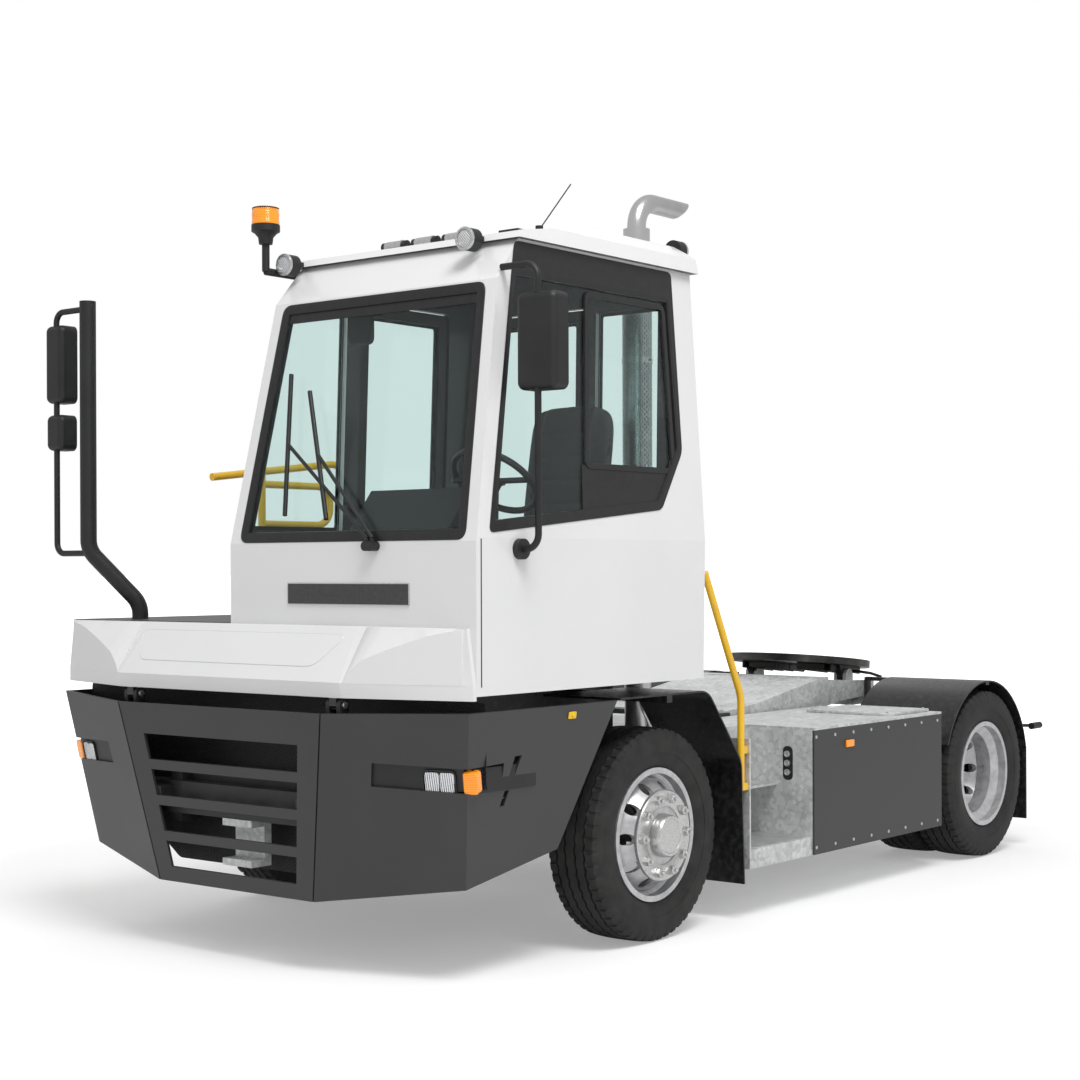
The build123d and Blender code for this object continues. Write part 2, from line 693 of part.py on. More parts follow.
roof_top = CAB_TOP + ROOF_RISE
roof_profile = [
    (cab_rear_top - ROOF_LIP, CAB_TOP + FIT_GAP),
    (roof_front_x + ROOF_LIP, CAB_TOP + FIT_GAP),
    (roof_front_x, CAB_TOP + BROW_RISE),
    (roof_front_x - ROOF_FLAT_SETBACK, roof_top),
    (cab_rear_top, roof_top),
    (cab_rear_top - ROOF_LIP, roof_top - ROOF_LIP),
]
roof_section = [
    (cab_top_right - ROOF_LIP, CAB_TOP),
    (cab_top_left + ROOF_LIP, CAB_TOP),
    (cab_top_left + ROOF_LIP / 2, CAB_TOP + ROOF_RISE / 2),
    (cab_top_left - ROOF_CHAMFER, roof_top),
    (cab_top_right + ROOF_CHAMFER, roof_top),
    (cab_top_right - ROOF_LIP / 2, CAB_TOP + ROOF_RISE / 2),
]

with BuildPart() as cab_floor:
    block(
        (cab_rear + CAB_WALL + FIT_GAP, cab_right + CAB_WALL + FIT_GAP, CAB_BASE),
        (cab_front - CAB_WALL - FIT_GAP, cab_left - CAB_WALL - FIT_GAP, CAB_BASE + FLOOR_THICKNESS),
    )
finish_part(cab_floor, "cab_floor")

with BuildPart() as cab_roof:
    side_slab(roof_profile, cab_right, cab_left)
    cross_slab(roof_section, cab_rear_top - OVERRUN, roof_front_x + OVERRUN, Mode.INTERSECT)
    block(
        (cab_rear_top + CAB_WALL, cab_top_right + CAB_WALL, CAB_TOP - OVERRUN),
        (
            roof_front_x - ROOF_FLAT_SETBACK / 2,
            cab_top_left - CAB_WALL,
            CAB_TOP + ROOF_RISE / 2 - CEILING_THICKNESS,
        ),
        Mode.SUBTRACT,
    )
finish_part(cab_roof, "cab_roof")

# The cowl ahead of the cab: a lip, a sloped front face and two corner facets.
COWL_BOTTOM = 1148.0
COWL_LIP = 62.0
COWL_TOP = 1433.0
COWL_NOSE_SETBACK = 62.0
COWL_NOSE_HALF = 686.0
COWL_TOP_HALF = 640.0
COWL_TOP_NOSE = 34.0
COWL_SIDE_TUCK = 32.0
COWL_WALL = 22.0
TILT_SETBACK = 95.0
TILT_HEIGHT = 1118.0
TILT_PIN = 36.0
TILT_Y = 631.0
TILT_LUG = 40.0
TILT_LUG_DIAMETER = 52.0


def cowl_plan(nose_x, nose_half, side_x, side_half, height, inset):
    """The cowl's outline at a height, as a face, drawn in by an inset."""
    back = cab_front + FIT_GAP
    with BuildSketch(Plane.XY.offset(height), mode=Mode.PRIVATE) as plan:
        with BuildLine():
            Polyline(
                (back, -side_half),
                (side_x, -side_half),
                (nose_x, -nose_half),
                (nose_x, nose_half),
                (side_x, side_half),
                (back, side_half),
                close=True,
            )
        make_face()
        if inset:
            offset(amount=-inset, kind=Kind.INTERSECTION)
    return plan.sketch.faces()[0]


tilt_x = front_x - TILT_SETBACK
cowl_nose = front_x - COWL_NOSE_SETBACK
cowl_side_x = cab_front + COWL_WALL
with BuildPart() as front_hood:
    low_face = cowl_plan(cowl_nose, COWL_NOSE_HALF, cowl_side_x, half_width, COWL_BOTTOM, 0.0)
    lip_face = cowl_plan(
        cowl_nose + COWL_LIP / 5, COWL_NOSE_HALF, cowl_side_x, half_width, COWL_BOTTOM + COWL_LIP, 0.0
    )
    top_face = cowl_plan(
        cab_front + COWL_TOP_NOSE, COWL_TOP_HALF, cowl_side_x, half_width - COWL_SIDE_TUCK, COWL_TOP, 0.0
    )
    loft([low_face, lip_face], ruled=True)
    loft([lip_face, top_face], ruled=True)
    hollow_lip = cowl_plan(
        cowl_nose + COWL_LIP / 5, COWL_NOSE_HALF, cowl_side_x, half_width, COWL_BOTTOM + COWL_LIP, COWL_WALL
    )
    hollow_low = cowl_plan(cowl_nose, COWL_NOSE_HALF, cowl_side_x, half_width, COWL_BOTTOM, COWL_WALL)
    loft([hollow_low, hollow_lip], ruled=True, mode=Mode.SUBTRACT)
    for side in (1, -1):
        side_slab(
            [
                (tilt_x - TILT_LUG_DIAMETER / 2, TILT_HEIGHT),
                (tilt_x + TILT_LUG_DIAMETER / 2, TILT_HEIGHT),
                (tilt_x + TILT_LUG_DIAMETER / 2, COWL_BOTTOM + COWL_LIP + COWL_WALL),
                (tilt_x - TILT_LUG_DIAMETER / 2, COWL_BOTTOM + COWL_LIP + COWL_WALL),
            ],
            side * TILT_Y - TILT_LUG / 2,
            side * TILT_Y + TILT_LUG / 2,
        )
        bar(
            (tilt_x, side * TILT_Y - TILT_LUG / 2, TILT_HEIGHT),
            (tilt_x, side * TILT_Y + TILT_LUG / 2, TILT_HEIGHT),
            TILT_LUG_DIAMETER,
        )
        bar(
            (tilt_x, side * TILT_Y - TILT_LUG, TILT_HEIGHT),
            (tilt_x, side * TILT_Y + TILT_LUG, TILT_HEIGHT),
            TILT_PIN + 2 * PIN_CLEARANCE,
            Mode.SUBTRACT,
        )
finish_part(front_hood, "front_hood")

# The deck on the right of the cab, its side panel and its yellow rail.
DECK_TOP = 1436.0
DECK_THICKNESS = 36.0
DECK_EDGE = 15.0
RAIL_TUBE = 38.0
RAIL_BEND = 90.0
RAIL_INSET = 250.0
RAIL_FRONT_SETBACK = 640.0
RAIL_FRONT_HEIGHT = 2120.0
RAIL_REAR_SETBACK = 1560.0
RAIL_REAR_HEIGHT = 2225.0
RAIL_POST_SETBACK = 970.0
RAIL_LOOP_SETBACK = 1450.0
RAIL_LOOP_HIGH = 2095.0
RAIL_LOOP_LOW = 1895.0

with BuildPart() as right_deck:
    block(
        (cab_rear, -half_width + DECK_EDGE + FIT_GAP, DECK_TOP - DECK_THICKNESS),
        (cab_front, cab_right - FIT_GAP, DECK_TOP),
    )
finish_part(right_deck, "right_deck")

with BuildPart() as right_side_panel:
    block(
        (cab_rear, -half_width, CAB_BASE),
        (cab_front, -half_width + DECK_EDGE, DECK_TOP),
    )
    block(
        (cab_rear, -half_width + DECK_EDGE, CAB_BASE),
        (cab_rear + DECK_EDGE, cab_right - FIT_GAP, DECK_TOP - DECK_THICKNESS - FIT_GAP),
    )
finish_part(right_side_panel, "right_side_panel")

rail_y = -half_width + RAIL_INSET
rail_start_x = cab_front - RAIL_FRONT_SETBACK
rail_end_x = cab_front - RAIL_REAR_SETBACK
rail_post_x = cab_front - RAIL_POST_SETBACK
rail_loop_x = cab_front - RAIL_LOOP_SETBACK
with BuildPart() as right_handrail:
    tube(
        [
            (rail_start_x, rail_y, RAIL_FRONT_HEIGHT),
            (rail_end_x, rail_y, RAIL_REAR_HEIGHT),
            (rail_end_x, rail_y, DECK_TOP + FIT_GAP),
        ],
        RAIL_TUBE,
        RAIL_BEND,
    )
    tube(
        [
            (rail_post_x, rail_y, RAIL_LOOP_HIGH),
            (rail_loop_x, rail_y, RAIL_LOOP_HIGH),
            (rail_loop_x, rail_y, RAIL_LOOP_LOW),
            (rail_post_x, rail_y, RAIL_LOOP_LOW),
        ],
        RAIL_TUBE,
        RAIL_BEND,
    )
    bar(
        (rail_post_x, rail_y, DECK_TOP + FIT_GAP),
        (rail_post_x, rail_y, RAIL_FRONT_HEIGHT + RAIL_TUBE),
        RAIL_TUBE,
    )
finish_part(right_handrail, "right_handrail")

# Rear-view mirrors: arms, stays and moulded heads.
MIRROR_TUBE = 28.0
MIRROR_HEAD_DEPTH = 95.0
MIRROR_HEAD_WIDTH = 200.0
MIRROR_HEAD_HEIGHT = 390.0
MIRROR_HEAD_ROUND = 30.0
LEFT_MIRROR_SETBACK = 265.0
LEFT_MIRROR_HEIGHT = 2575.0
LEFT_ARM_HEIGHT = 2885.0
LEFT_ARM_BEND = 60.0
LEFT_STAY_LOW = 1745.0
LEFT_FOOT = 84.0
LEFT_FOOT_DEPTH = 26.0


def mirror_head(x, y, z, width, height):
    """A rounded mirror housing, flat towards the rear."""
    with BuildPart(mode=Mode.PRIVATE) as head:
        with Locations((x, y, z)):
            Box(MIRROR_HEAD_DEPTH, width, height)
        fillet(head.edges().filter_by(Axis.X), radius=MIRROR_HEAD_ROUND)
        fillet(head.faces().sort_by(Axis.X)[-1].edges(), radius=MIRROR_HEAD_ROUND)
    add(head.part)


left_mirror_x = cab_front - LEFT_MIRROR_SETBACK
left_mirror_y = MIRROR_REACH - MIRROR_HEAD_WIDTH / 2
with BuildPart() as left_mirror:
    tube(
        [
            (left_mirror_x, cab_y_at(LEFT_ARM_HEIGHT - MIRROR_TUBE, True) + FIT_GAP, LEFT_ARM_HEIGHT),
            (left_mirror_x, left_mirror_y, LEFT_ARM_HEIGHT),
            (left_mirror_x, left_mirror_y, LEFT_STAY_LOW),
            (left_mirror_x, half_width + FIT_GAP, LEFT_STAY_LOW),
        ],
        MIRROR_TUBE,
        LEFT_ARM_BEND,
    )
    bar(
        (left_mirror_x, half_width + FIT_GAP, LEFT_STAY_LOW),
        (left_mirror_x, half_width + LEFT_FOOT_DEPTH, LEFT_STAY_LOW),
        LEFT_FOOT,
    )
    mirror_head(
        left_mirror_x - MIRROR_HEAD_DEPTH / 4,
        left_mirror_y,
        LEFT_MIRROR_HEIGHT,
        MIRROR_HEAD_WIDTH,
        MIRROR_HEAD_HEIGHT,
    )
finish_part(left_mirror, "left_mirror")

POLE_DIAMETER = 76.0
POLE_SETBACK = 10.0
POLE_Y = 1150.0
POLE_HIGH = 2925.0
POLE_KNEE = 1760.0
POLE_FOOT_SETBACK = 200.0
POLE_FOOT_Y = 1010.0
POLE_BEND = 120.0
POLE_FOOT = 70.0
RIGHT_HEAD_HEIGHT = 2645.0
RIGHT_HEAD_WIDTH = 131.0
RIGHT_HEAD_TALL = 370.0
RIGHT_SMALL_HEIGHT = 2320.0
RIGHT_SMALL_WIDTH = 120.0
RIGHT_SMALL_TALL = 170.0
RIGHT_ARM_HIGH = 2890.0
RIGHT_ARM_LOW = 1745.0
RIGHT_ARM_BEND = 50.0

pole_x = cab_front - POLE_SETBACK
right_mirror_y = -MIRROR_REACH + RIGHT_HEAD_WIDTH / 2
with BuildPart() as right_mirror:
    tube(
        [
            (cab_front - POLE_FOOT_SETBACK, -POLE_FOOT_Y, DECK_TOP + FIT_GAP),
            (cab_front - POLE_FOOT_SETBACK, -POLE_FOOT_Y, DECK_TOP + POLE_FOOT),
            (pole_x, -POLE_Y, POLE_KNEE),
            (pole_x, -POLE_Y, POLE_HIGH),
        ],
        POLE_DIAMETER,
        POLE_BEND,
    )
    tube(
        [
            (pole_x, -POLE_Y, RIGHT_ARM_HIGH),
            (pole_x, right_mirror_y, RIGHT_ARM_HIGH),
            (pole_x, right_mirror_y, RIGHT_ARM_LOW),
            (pole_x, -POLE_Y, RIGHT_ARM_LOW),
        ],
        MIRROR_TUBE,
        RIGHT_ARM_BEND,
    )
    for height, width, tall in (
        (RIGHT_HEAD_HEIGHT, RIGHT_HEAD_WIDTH, RIGHT_HEAD_TALL),
        (RIGHT_SMALL_HEIGHT, RIGHT_SMALL_WIDTH, RIGHT_SMALL_TALL),
    ):
        mirror_head(pole_x - MIRROR_HEAD_DEPTH / 4, right_mirror_y, height, width, tall)
finish_part(right_mirror, "right_mirror")

# Roof lamps, the beacon, the air horns and the aerial.
BEACON_DIAMETER = 120.0
BEACON_HEIGHT = 100.0
BEACON_BASE = 3170.0
BEACON_STALK = 34.0
BEACON_SETBACK = 205.0
BEACON_Y = 150.0
BEACON_BRACKET_LOW = 2990.0
LAMP_DIAMETER = 95.0
LAMP_DEPTH = 60.0
LAMP_HEIGHT = 3020.0
LAMP_STEM = 20.0
LAMP_FORWARD = 75.0
LAMP_RIGHT_INSET = 25.0
LAMP_LEFT_INSET = 175.0
HORN_COUNT = 3
HORN_LENGTH = 150.0
HORN_DIAMETER = 46.0
HORN_PITCH = 190.0
HORN_SETBACK = 910.0
HORN_CENTER_Y = 170.0
HORN_RAIL = 10.0
HORN_RAIL_WIDTH = 36.0
HORN_POST = 20.0
HORN_STAND = 6.0
AERIAL_DIAMETER = 6.0
AERIAL_SETBACK = 850.0
AERIAL_INSET = 260.0
AERIAL_LEAN = 225.0
AERIAL_HEIGHT = 3380.0
AERIAL_BASE = 34.0
ROOF_BOX_SETBACK = 1040.0
ROOF_BOX_INSET = 550.0
ROOF_BOX_LENGTH = 120.0
ROOF_BOX_WIDTH = 110.0
ROOF_BOX_HEIGHT = 30.0
WORK_LAMP_INSET = 130.0
WORK_LAMP_HEIGHT = 3150.0
WORK_LAMP_BEHIND = 20.0


def roof_z_at(x):
    """The roof's upper face at a place along its slope."""
    fall = max(0.0, x - roof_front_x + ROOF_FLAT_SETBACK) / ROOF_FLAT_SETBACK
    return roof_top - (ROOF_RISE - BROW_RISE) * fall


beacon_x = cab_front - BEACON_SETBACK
horn_x = cab_front - HORN_SETBACK
with BuildPart() as roof_equipment:
    bracket_y = cab_y_at(BEACON_BRACKET_LOW - BEACON_STALK, False) - FIT_GAP
    bracket_x = roof_front_x - 2 * BEACON_STALK
    block(
        (bracket_x, -BEACON_Y - BEACON_STALK / 2, BEACON_BRACKET_LOW - BEACON_STALK / 2),
        (bracket_x + BEACON_STALK, bracket_y, BEACON_BRACKET_LOW + BEACON_STALK / 2),
    )
    bar(
        (roof_front_x - 2 * BEACON_STALK, -BEACON_Y, BEACON_BRACKET_LOW),
        (beacon_x, -BEACON_Y, BEACON_BRACKET_LOW),
        BEACON_STALK,
    )
    for lamp_y in (cab_top_right + LAMP_RIGHT_INSET, cab_top_left - LAMP_LEFT_INSET):
        lamp_x = roof_front_x + LAMP_FORWARD
        bar((lamp_x, lamp_y, LAMP_HEIGHT), (lamp_x + LAMP_DEPTH, lamp_y, LAMP_HEIGHT), LAMP_DIAMETER)
        block(
            (roof_front_x + ROOF_LIP + FIT_GAP, lamp_y - BEACON_STALK / 2, CAB_TOP + 2 * FIT_GAP),
            (lamp_x, lamp_y + BEACON_STALK / 2, CAB_TOP + LAMP_STEM),
        )
    bar((beacon_x, -BEACON_Y, BEACON_BRACKET_LOW), (beacon_x, -BEACON_Y, BEACON_BASE), BEACON_STALK)
    bar(
        (beacon_x, -BEACON_Y, BEACON_BASE),
        (beacon_x, -BEACON_Y, BEACON_BASE + BEACON_HEIGHT),
        BEACON_DIAMETER,
    )
    roof_z = roof_z_at(horn_x - HORN_RAIL_WIDTH / 2)
    horn_z = roof_z + HORN_STAND + HORN_RAIL + HORN_DIAMETER / 2
    rail_half = (HORN_COUNT - 1) / 2 * HORN_PITCH + HORN_LENGTH / 2
    block(
        (horn_x - HORN_RAIL_WIDTH / 2, HORN_CENTER_Y - rail_half, roof_z + HORN_STAND),
        (horn_x + HORN_RAIL_WIDTH / 2, HORN_CENTER_Y + rail_half, roof_z + HORN_STAND + HORN_RAIL),
    )
    for post_y in (HORN_CENTER_Y - rail_half + HORN_LENGTH, HORN_CENTER_Y + rail_half - HORN_POST):
        block(
            (horn_x - HORN_RAIL_WIDTH / 2, post_y, roof_z + FIT_GAP),
            (horn_x, post_y + HORN_POST, roof_z + HORN_STAND + HORN_RAIL),
        )
    for horn in range(HORN_COUNT):
        horn_y = HORN_CENTER_Y + (horn - (HORN_COUNT - 1) / 2) * HORN_PITCH
        bar(
            (horn_x, horn_y - HORN_LENGTH / 2, horn_z),
            (horn_x, horn_y + HORN_LENGTH / 2, horn_z),
            HORN_DIAMETER,
        )
    aerial_x = cab_front - AERIAL_SETBACK
    aerial_y = cab_top_left - AERIAL_INSET
    aerial_z = roof_z_at(aerial_x - AERIAL_BASE / 2) + FIT_GAP
    bar((aerial_x, aerial_y, aerial_z), (aerial_x, aerial_y, aerial_z + AERIAL_BASE), AERIAL_BASE)
    bar(
        (aerial_x, aerial_y, aerial_z + AERIAL_BASE / 2),
        (aerial_x - AERIAL_LEAN, aerial_y, AERIAL_HEIGHT),
        AERIAL_DIAMETER,
    )
    box_x = cab_front - ROOF_BOX_SETBACK
    box_y = cab_top_left - ROOF_BOX_INSET
    block(
        (box_x, box_y, roof_top + FIT_GAP),
        (box_x + ROOF_BOX_LENGTH, box_y + ROOF_BOX_WIDTH, roof_top + ROOF_BOX_HEIGHT),
    )
    roof_rear_x = cab_rear_top - ROOF_LIP - FIT_GAP
    work_lamp_x = roof_rear_x - WORK_LAMP_BEHIND - LAMP_DEPTH
    work_lamp_y = cab_top_left - WORK_LAMP_INSET
    bar(
        (work_lamp_x, work_lamp_y, WORK_LAMP_HEIGHT),
        (work_lamp_x + LAMP_DEPTH, work_lamp_y, WORK_LAMP_HEIGHT),
        LAMP_DIAMETER,
    )
    block(
        (work_lamp_x, work_lamp_y - LAMP_STEM, WORK_LAMP_HEIGHT - 2 * LAMP_STEM),
        (roof_rear_x, work_lamp_y + LAMP_STEM, WORK_LAMP_HEIGHT - LAMP_STEM),
    )
finish_part(roof_equipment, "roof_equipment")

# Driver's seat, steering wheel and dashboard.
SEAT_Y = 720.0
SEAT_BACK_FROM_REAR = 190.0
SEAT_WIDTH = 480.0
SEAT_DEPTH = 500.0
SEAT_BASE_HEIGHT = 420.0
CUSHION_THICKNESS = 130.0
BACKREST_TOP = 2430.0
BACKREST_THICKNESS = 140.0
BACKREST_LEAN = 130.0

floor_top = CAB_BASE + FLOOR_THICKNESS
seat_rear = cab_rear + SEAT_BACK_FROM_REAR
cushion_low = floor_top + SEAT_BASE_HEIGHT
with BuildPart() as seat_base:
    block(
        (seat_rear + BACKREST_LEAN, SEAT_Y - SEAT_WIDTH / 3, floor_top + FIT_GAP),
        (seat_rear + SEAT_DEPTH, SEAT_Y + SEAT_WIDTH / 3, cushion_low),
    )
finish_part(seat_base, "seat_base")

with BuildPart() as seat:
    block(
        (seat_rear + BACKREST_LEAN, SEAT_Y - SEAT_WIDTH / 2, cushion_low + FIT_GAP),
        (seat_rear + SEAT_DEPTH + BACKREST_LEAN, SEAT_Y + SEAT_WIDTH / 2, cushion_low + CUSHION_THICKNESS),
    )
    side_slab(
        [
            (seat_rear + BACKREST_LEAN, cushion_low + FIT_GAP),
            (seat_rear + BACKREST_LEAN + BACKREST_THICKNESS, cushion_low + FIT_GAP),
            (seat_rear + BACKREST_THICKNESS, BACKREST_TOP),
            (seat_rear, BACKREST_TOP),
        ],
        SEAT_Y - SEAT_WIDTH / 2,
        SEAT_Y + SEAT_WIDTH / 2,
    )
finish_part(seat, "seat")

STEERING_WHEEL_DIAMETER = 420.0
STEERING_RIM = 30.0
STEERING_SETBACK = 746.0
STEERING_HEIGHT = 2050.0
STEERING_LEAN = 40.0
COLUMN_LENGTH = 630.0
COLUMN_STUB = 140.0
COLUMN_DIAMETER = 70.0
SPOKE = 26.0
DASH_DEPTH = 330.0
DASH_HUMP_TOP = 2000.0
DASH_HUMP_WIDTH = 560.0
DASH_LOW = 1500.0

wheel_center = (cab_front - STEERING_SETBACK, SEAT_Y, STEERING_HEIGHT)
wheel_axis = Vector(-sin(radians(STEERING_LEAN)), 0, cos(radians(STEERING_LEAN)))
dash_front = cab_front - CAB_WALL - FIT_GAP
dash_rear = dash_front - DASH_DEPTH
column_top = Vector(*wheel_center) - wheel_axis * (COLUMN_STUB + FIT_GAP)
column_foot = Vector(*wheel_center) - wheel_axis * COLUMN_LENGTH
with BuildPart() as dashboard:
    block(
        (dash_rear, cab_right + CAB_WALL + FIT_GAP, DASH_LOW),
        (dash_front, cab_left - CAB_WALL - FIT_GAP, WINDSCREEN_BASE - GLASS_SEAT),
    )
    side_slab(
        [
            (dash_rear, DASH_LOW),
            (dash_front, DASH_LOW),
            (dash_front - CAB_WALL, WINDSCREEN_BASE),
            (dash_rear + DASH_DEPTH / 3, DASH_HUMP_TOP),
            (dash_rear, DASH_HUMP_TOP),
        ],
        SEAT_Y - DASH_HUMP_WIDTH / 2,
        SEAT_Y + DASH_HUMP_WIDTH / 2,
    )
    bar(tuple(column_top), tuple(column_foot), COLUMN_DIAMETER)
finish_part(dashboard, "dashboard")

with BuildPart() as steering_wheel:
    hub_plane = Plane(origin=wheel_center, x_dir=(0, 1, 0), z_dir=wheel_axis)
    rim_plane = Plane(origin=wheel_center, x_dir=(0, 1, 0), z_dir=wheel_axis.cross(Vector(0, 1, 0)))
    with BuildSketch(rim_plane) as rim:
        with Locations((STEERING_WHEEL_DIAMETER / 2 - STEERING_RIM / 2, 0)):
            Circle(STEERING_RIM / 2)
    revolve(rim.sketch, axis=Axis(wheel_center, wheel_axis))
    for turn in (0, 120, 240):
        spoke = hub_plane.rotated((0, 0, turn))
        tip = spoke.from_local_coords(Vector((STEERING_WHEEL_DIAMETER - STEERING_RIM) / 2, 0, 0))
        bar(wheel_center, tuple(tip), SPOKE)
    stub = Vector(*wheel_center) - wheel_axis * COLUMN_STUB
    bar(tuple(stub), wheel_center, COLUMN_DIAMETER)
finish_part(steering_wheel, "steering_wheel")

# Wheels: a tyre, a drop-centre rim with a vented disc, and a hub on a stub axle.
TYRE_RADIUS = 478.0
TYRE_WIDTH = 275.0
RIM_SEAT_RADIUS = 285.0
RIM_FLANGE_RADIUS = 298.5
RIM_WIDTH = 210.0
RIM_FLANGE = 13.0
RIM_WALL = 12.0
RIM_WELL_RADIUS = 245.0
WHEEL_OFFSET = 155.0
DISC_WALL = 14.0
DISC_SEAT_RADIUS = 185.0
VENT_COUNT = 10
VENT_DIAMETER = 52.0
VENT_RADIUS = 216.0
HUB_DIAMETER = 210.0
HUB_CAP_DIAMETER = 150.0
HUB_CAP_LENGTH = 40.0
HUB_DEPTH = 60.0
NUT_RING_RADIUS = 167.5
NUT_COUNT = 10
NUT_DIAMETER = 32.0
NUT_LENGTH = 28.0
FRONT_WHEEL_Y = 1067.0
REAR_OUTER_WHEEL_Y = half_width - TYRE_WIDTH / 2
STUB_DIAMETER = 90.0

rear_disc_y = REAR_OUTER_WHEEL_Y - WHEEL_OFFSET
rear_inner_wheel_y = rear_disc_y - WHEEL_OFFSET
hub_bore = STUB_DIAMETER + 2 * PIN_CLEARANCE
bead_half = RIM_WIDTH / 2 - FIT_GAP
bead_radius = RIM_SEAT_RADIUS + FIT_GAP

# Shares of the tyre's half width, and of its height from the flange to the tread.
tyre_shares = (
    (0.86, 0.06),
    (0.99, 0.42),
    (0.96, 0.74),
    (0.86, 0.95),
    (0.72, 1.00),
)


def wheel_plane(x, y):
    """A plane through a wheel's centre: local x runs left and local y runs up."""
    return Plane(origin=(x, y, TYRE_RADIUS), x_dir=(0, 1, 0), z_dir=(1, 0, 0))


def turned(points, x, y, mode=Mode.ADD):
    """Turns (across, radius) points into a solid about a wheel's axis."""
    with BuildSketch(wheel_plane(x, y)) as profile:
        with BuildLine():
            Polyline(*points, close=True)
        make_face()
    revolve(profile.sketch, axis=Axis((x, y, TYRE_RADIUS), (0, 1, 0)), mode=mode)


def tyre_at(x, y):
    """One tyre, filled in section from bead to tread."""
    height = TYRE_RADIUS - RIM_FLANGE_RADIUS
    half = [(a * TYRE_WIDTH / 2, RIM_FLANGE_RADIUS + b * height) for a, b in tyre_shares]
    half = [(bead_half, bead_radius), (bead_half, RIM_FLANGE_RADIUS + FIT_GAP)] + half
    turned(half + [(-a, r) for a, r in reversed(half)], x, y)


def rim_at(x, y, out):
    """One rim with its vented disc, the disc's seat towards out."""
    flange_out = RIM_WIDTH / 2 + RIM_FLANGE
    seat_in = RIM_WIDTH / 3
    well_in = RIM_WIDTH / 5
    outer = [
        (-flange_out, RIM_FLANGE_RADIUS),
        (-RIM_WIDTH / 2, RIM_FLANGE_RADIUS),
        (-RIM_WIDTH / 2, RIM_SEAT_RADIUS),
        (-seat_in, RIM_SEAT_RADIUS),
        (-well_in, RIM_WELL_RADIUS),
        (well_in, RIM_WELL_RADIUS),
        (seat_in, RIM_SEAT_RADIUS),
        (RIM_WIDTH / 2, RIM_SEAT_RADIUS),
        (RIM_WIDTH / 2, RIM_FLANGE_RADIUS),
        (flange_out, RIM_FLANGE_RADIUS),
    ]
    inner = [
        (flange_out, RIM_SEAT_RADIUS - RIM_WALL),
        (seat_in + RIM_WALL / 3, RIM_SEAT_RADIUS - RIM_WALL),
        (well_in, RIM_WELL_RADIUS - RIM_WALL),
        (-well_in, RIM_WELL_RADIUS - RIM_WALL),
        (-seat_in - RIM_WALL / 3, RIM_SEAT_RADIUS - RIM_WALL),
        (-flange_out, RIM_SEAT_RADIUS - RIM_WALL),
    ]
    turned(outer + inner, x, y)
    disc_root = RIM_WIDTH / 4
    disc = [
        (out * (disc_root - DISC_WALL), RIM_WELL_RADIUS + RIM_WALL / 2),
        (out * (disc_root + DISC_WALL), RIM_WELL_RADIUS + RIM_WALL / 2),
        (out * WHEEL_OFFSET, DISC_SEAT_RADIUS),
        (out * WHEEL_OFFSET, hub_bore / 2 + DISC_WALL),
        (out * (WHEEL_OFFSET - DISC_WALL), hub_bore / 2 + DISC_WALL),
        (out * (WHEEL_OFFSET - DISC_WALL), DISC_SEAT_RADIUS - DISC_WALL / 2),
    ]
    turned(disc, x, y)
    vent_plane = Plane(origin=(x, y, TYRE_RADIUS), x_dir=(1, 0, 0), z_dir=(0, -out, 0))
    with BuildSketch(vent_plane) as vents:
        with PolarLocations(VENT_RADIUS, VENT_COUNT):
            Circle(VENT_DIAMETER / 2)
    extrude(vents.sketch, amount=-WHEEL_OFFSET, mode=Mode.SUBTRACT)


def hub_at(x, y_in, y_out, cap_out):
    """A hub between two places along the axle, with its nuts and its cap."""
    out = 1 if y_out > y_in else -1
    sleeve((x, y_in, TYRE_RADIUS), (x, y_out, TYRE_RADIUS), HUB_DIAMETER, hub_bore)
    cap_start = (x, y_out, TYRE_RADIUS)
    bar(cap_start, (x, y_out + out * cap_out, TYRE_RADIUS), HUB_CAP_DIAMETER)


def nuts_at(x, y, out):
    """A ring of wheel nuts on a disc's seat."""
    nut_plane = Plane(origin=(x, y, TYRE_RADIUS), x_dir=(1, 0, 0), z_dir=(0, out, 0))
    with BuildSketch(nut_plane) as nuts:
        with PolarLocations(NUT_RING_RADIUS, NUT_COUNT):
            RegularPolygon(NUT_DIAMETER / 2, side_count=6)
    extrude(nuts.sketch, amount=NUT_LENGTH)


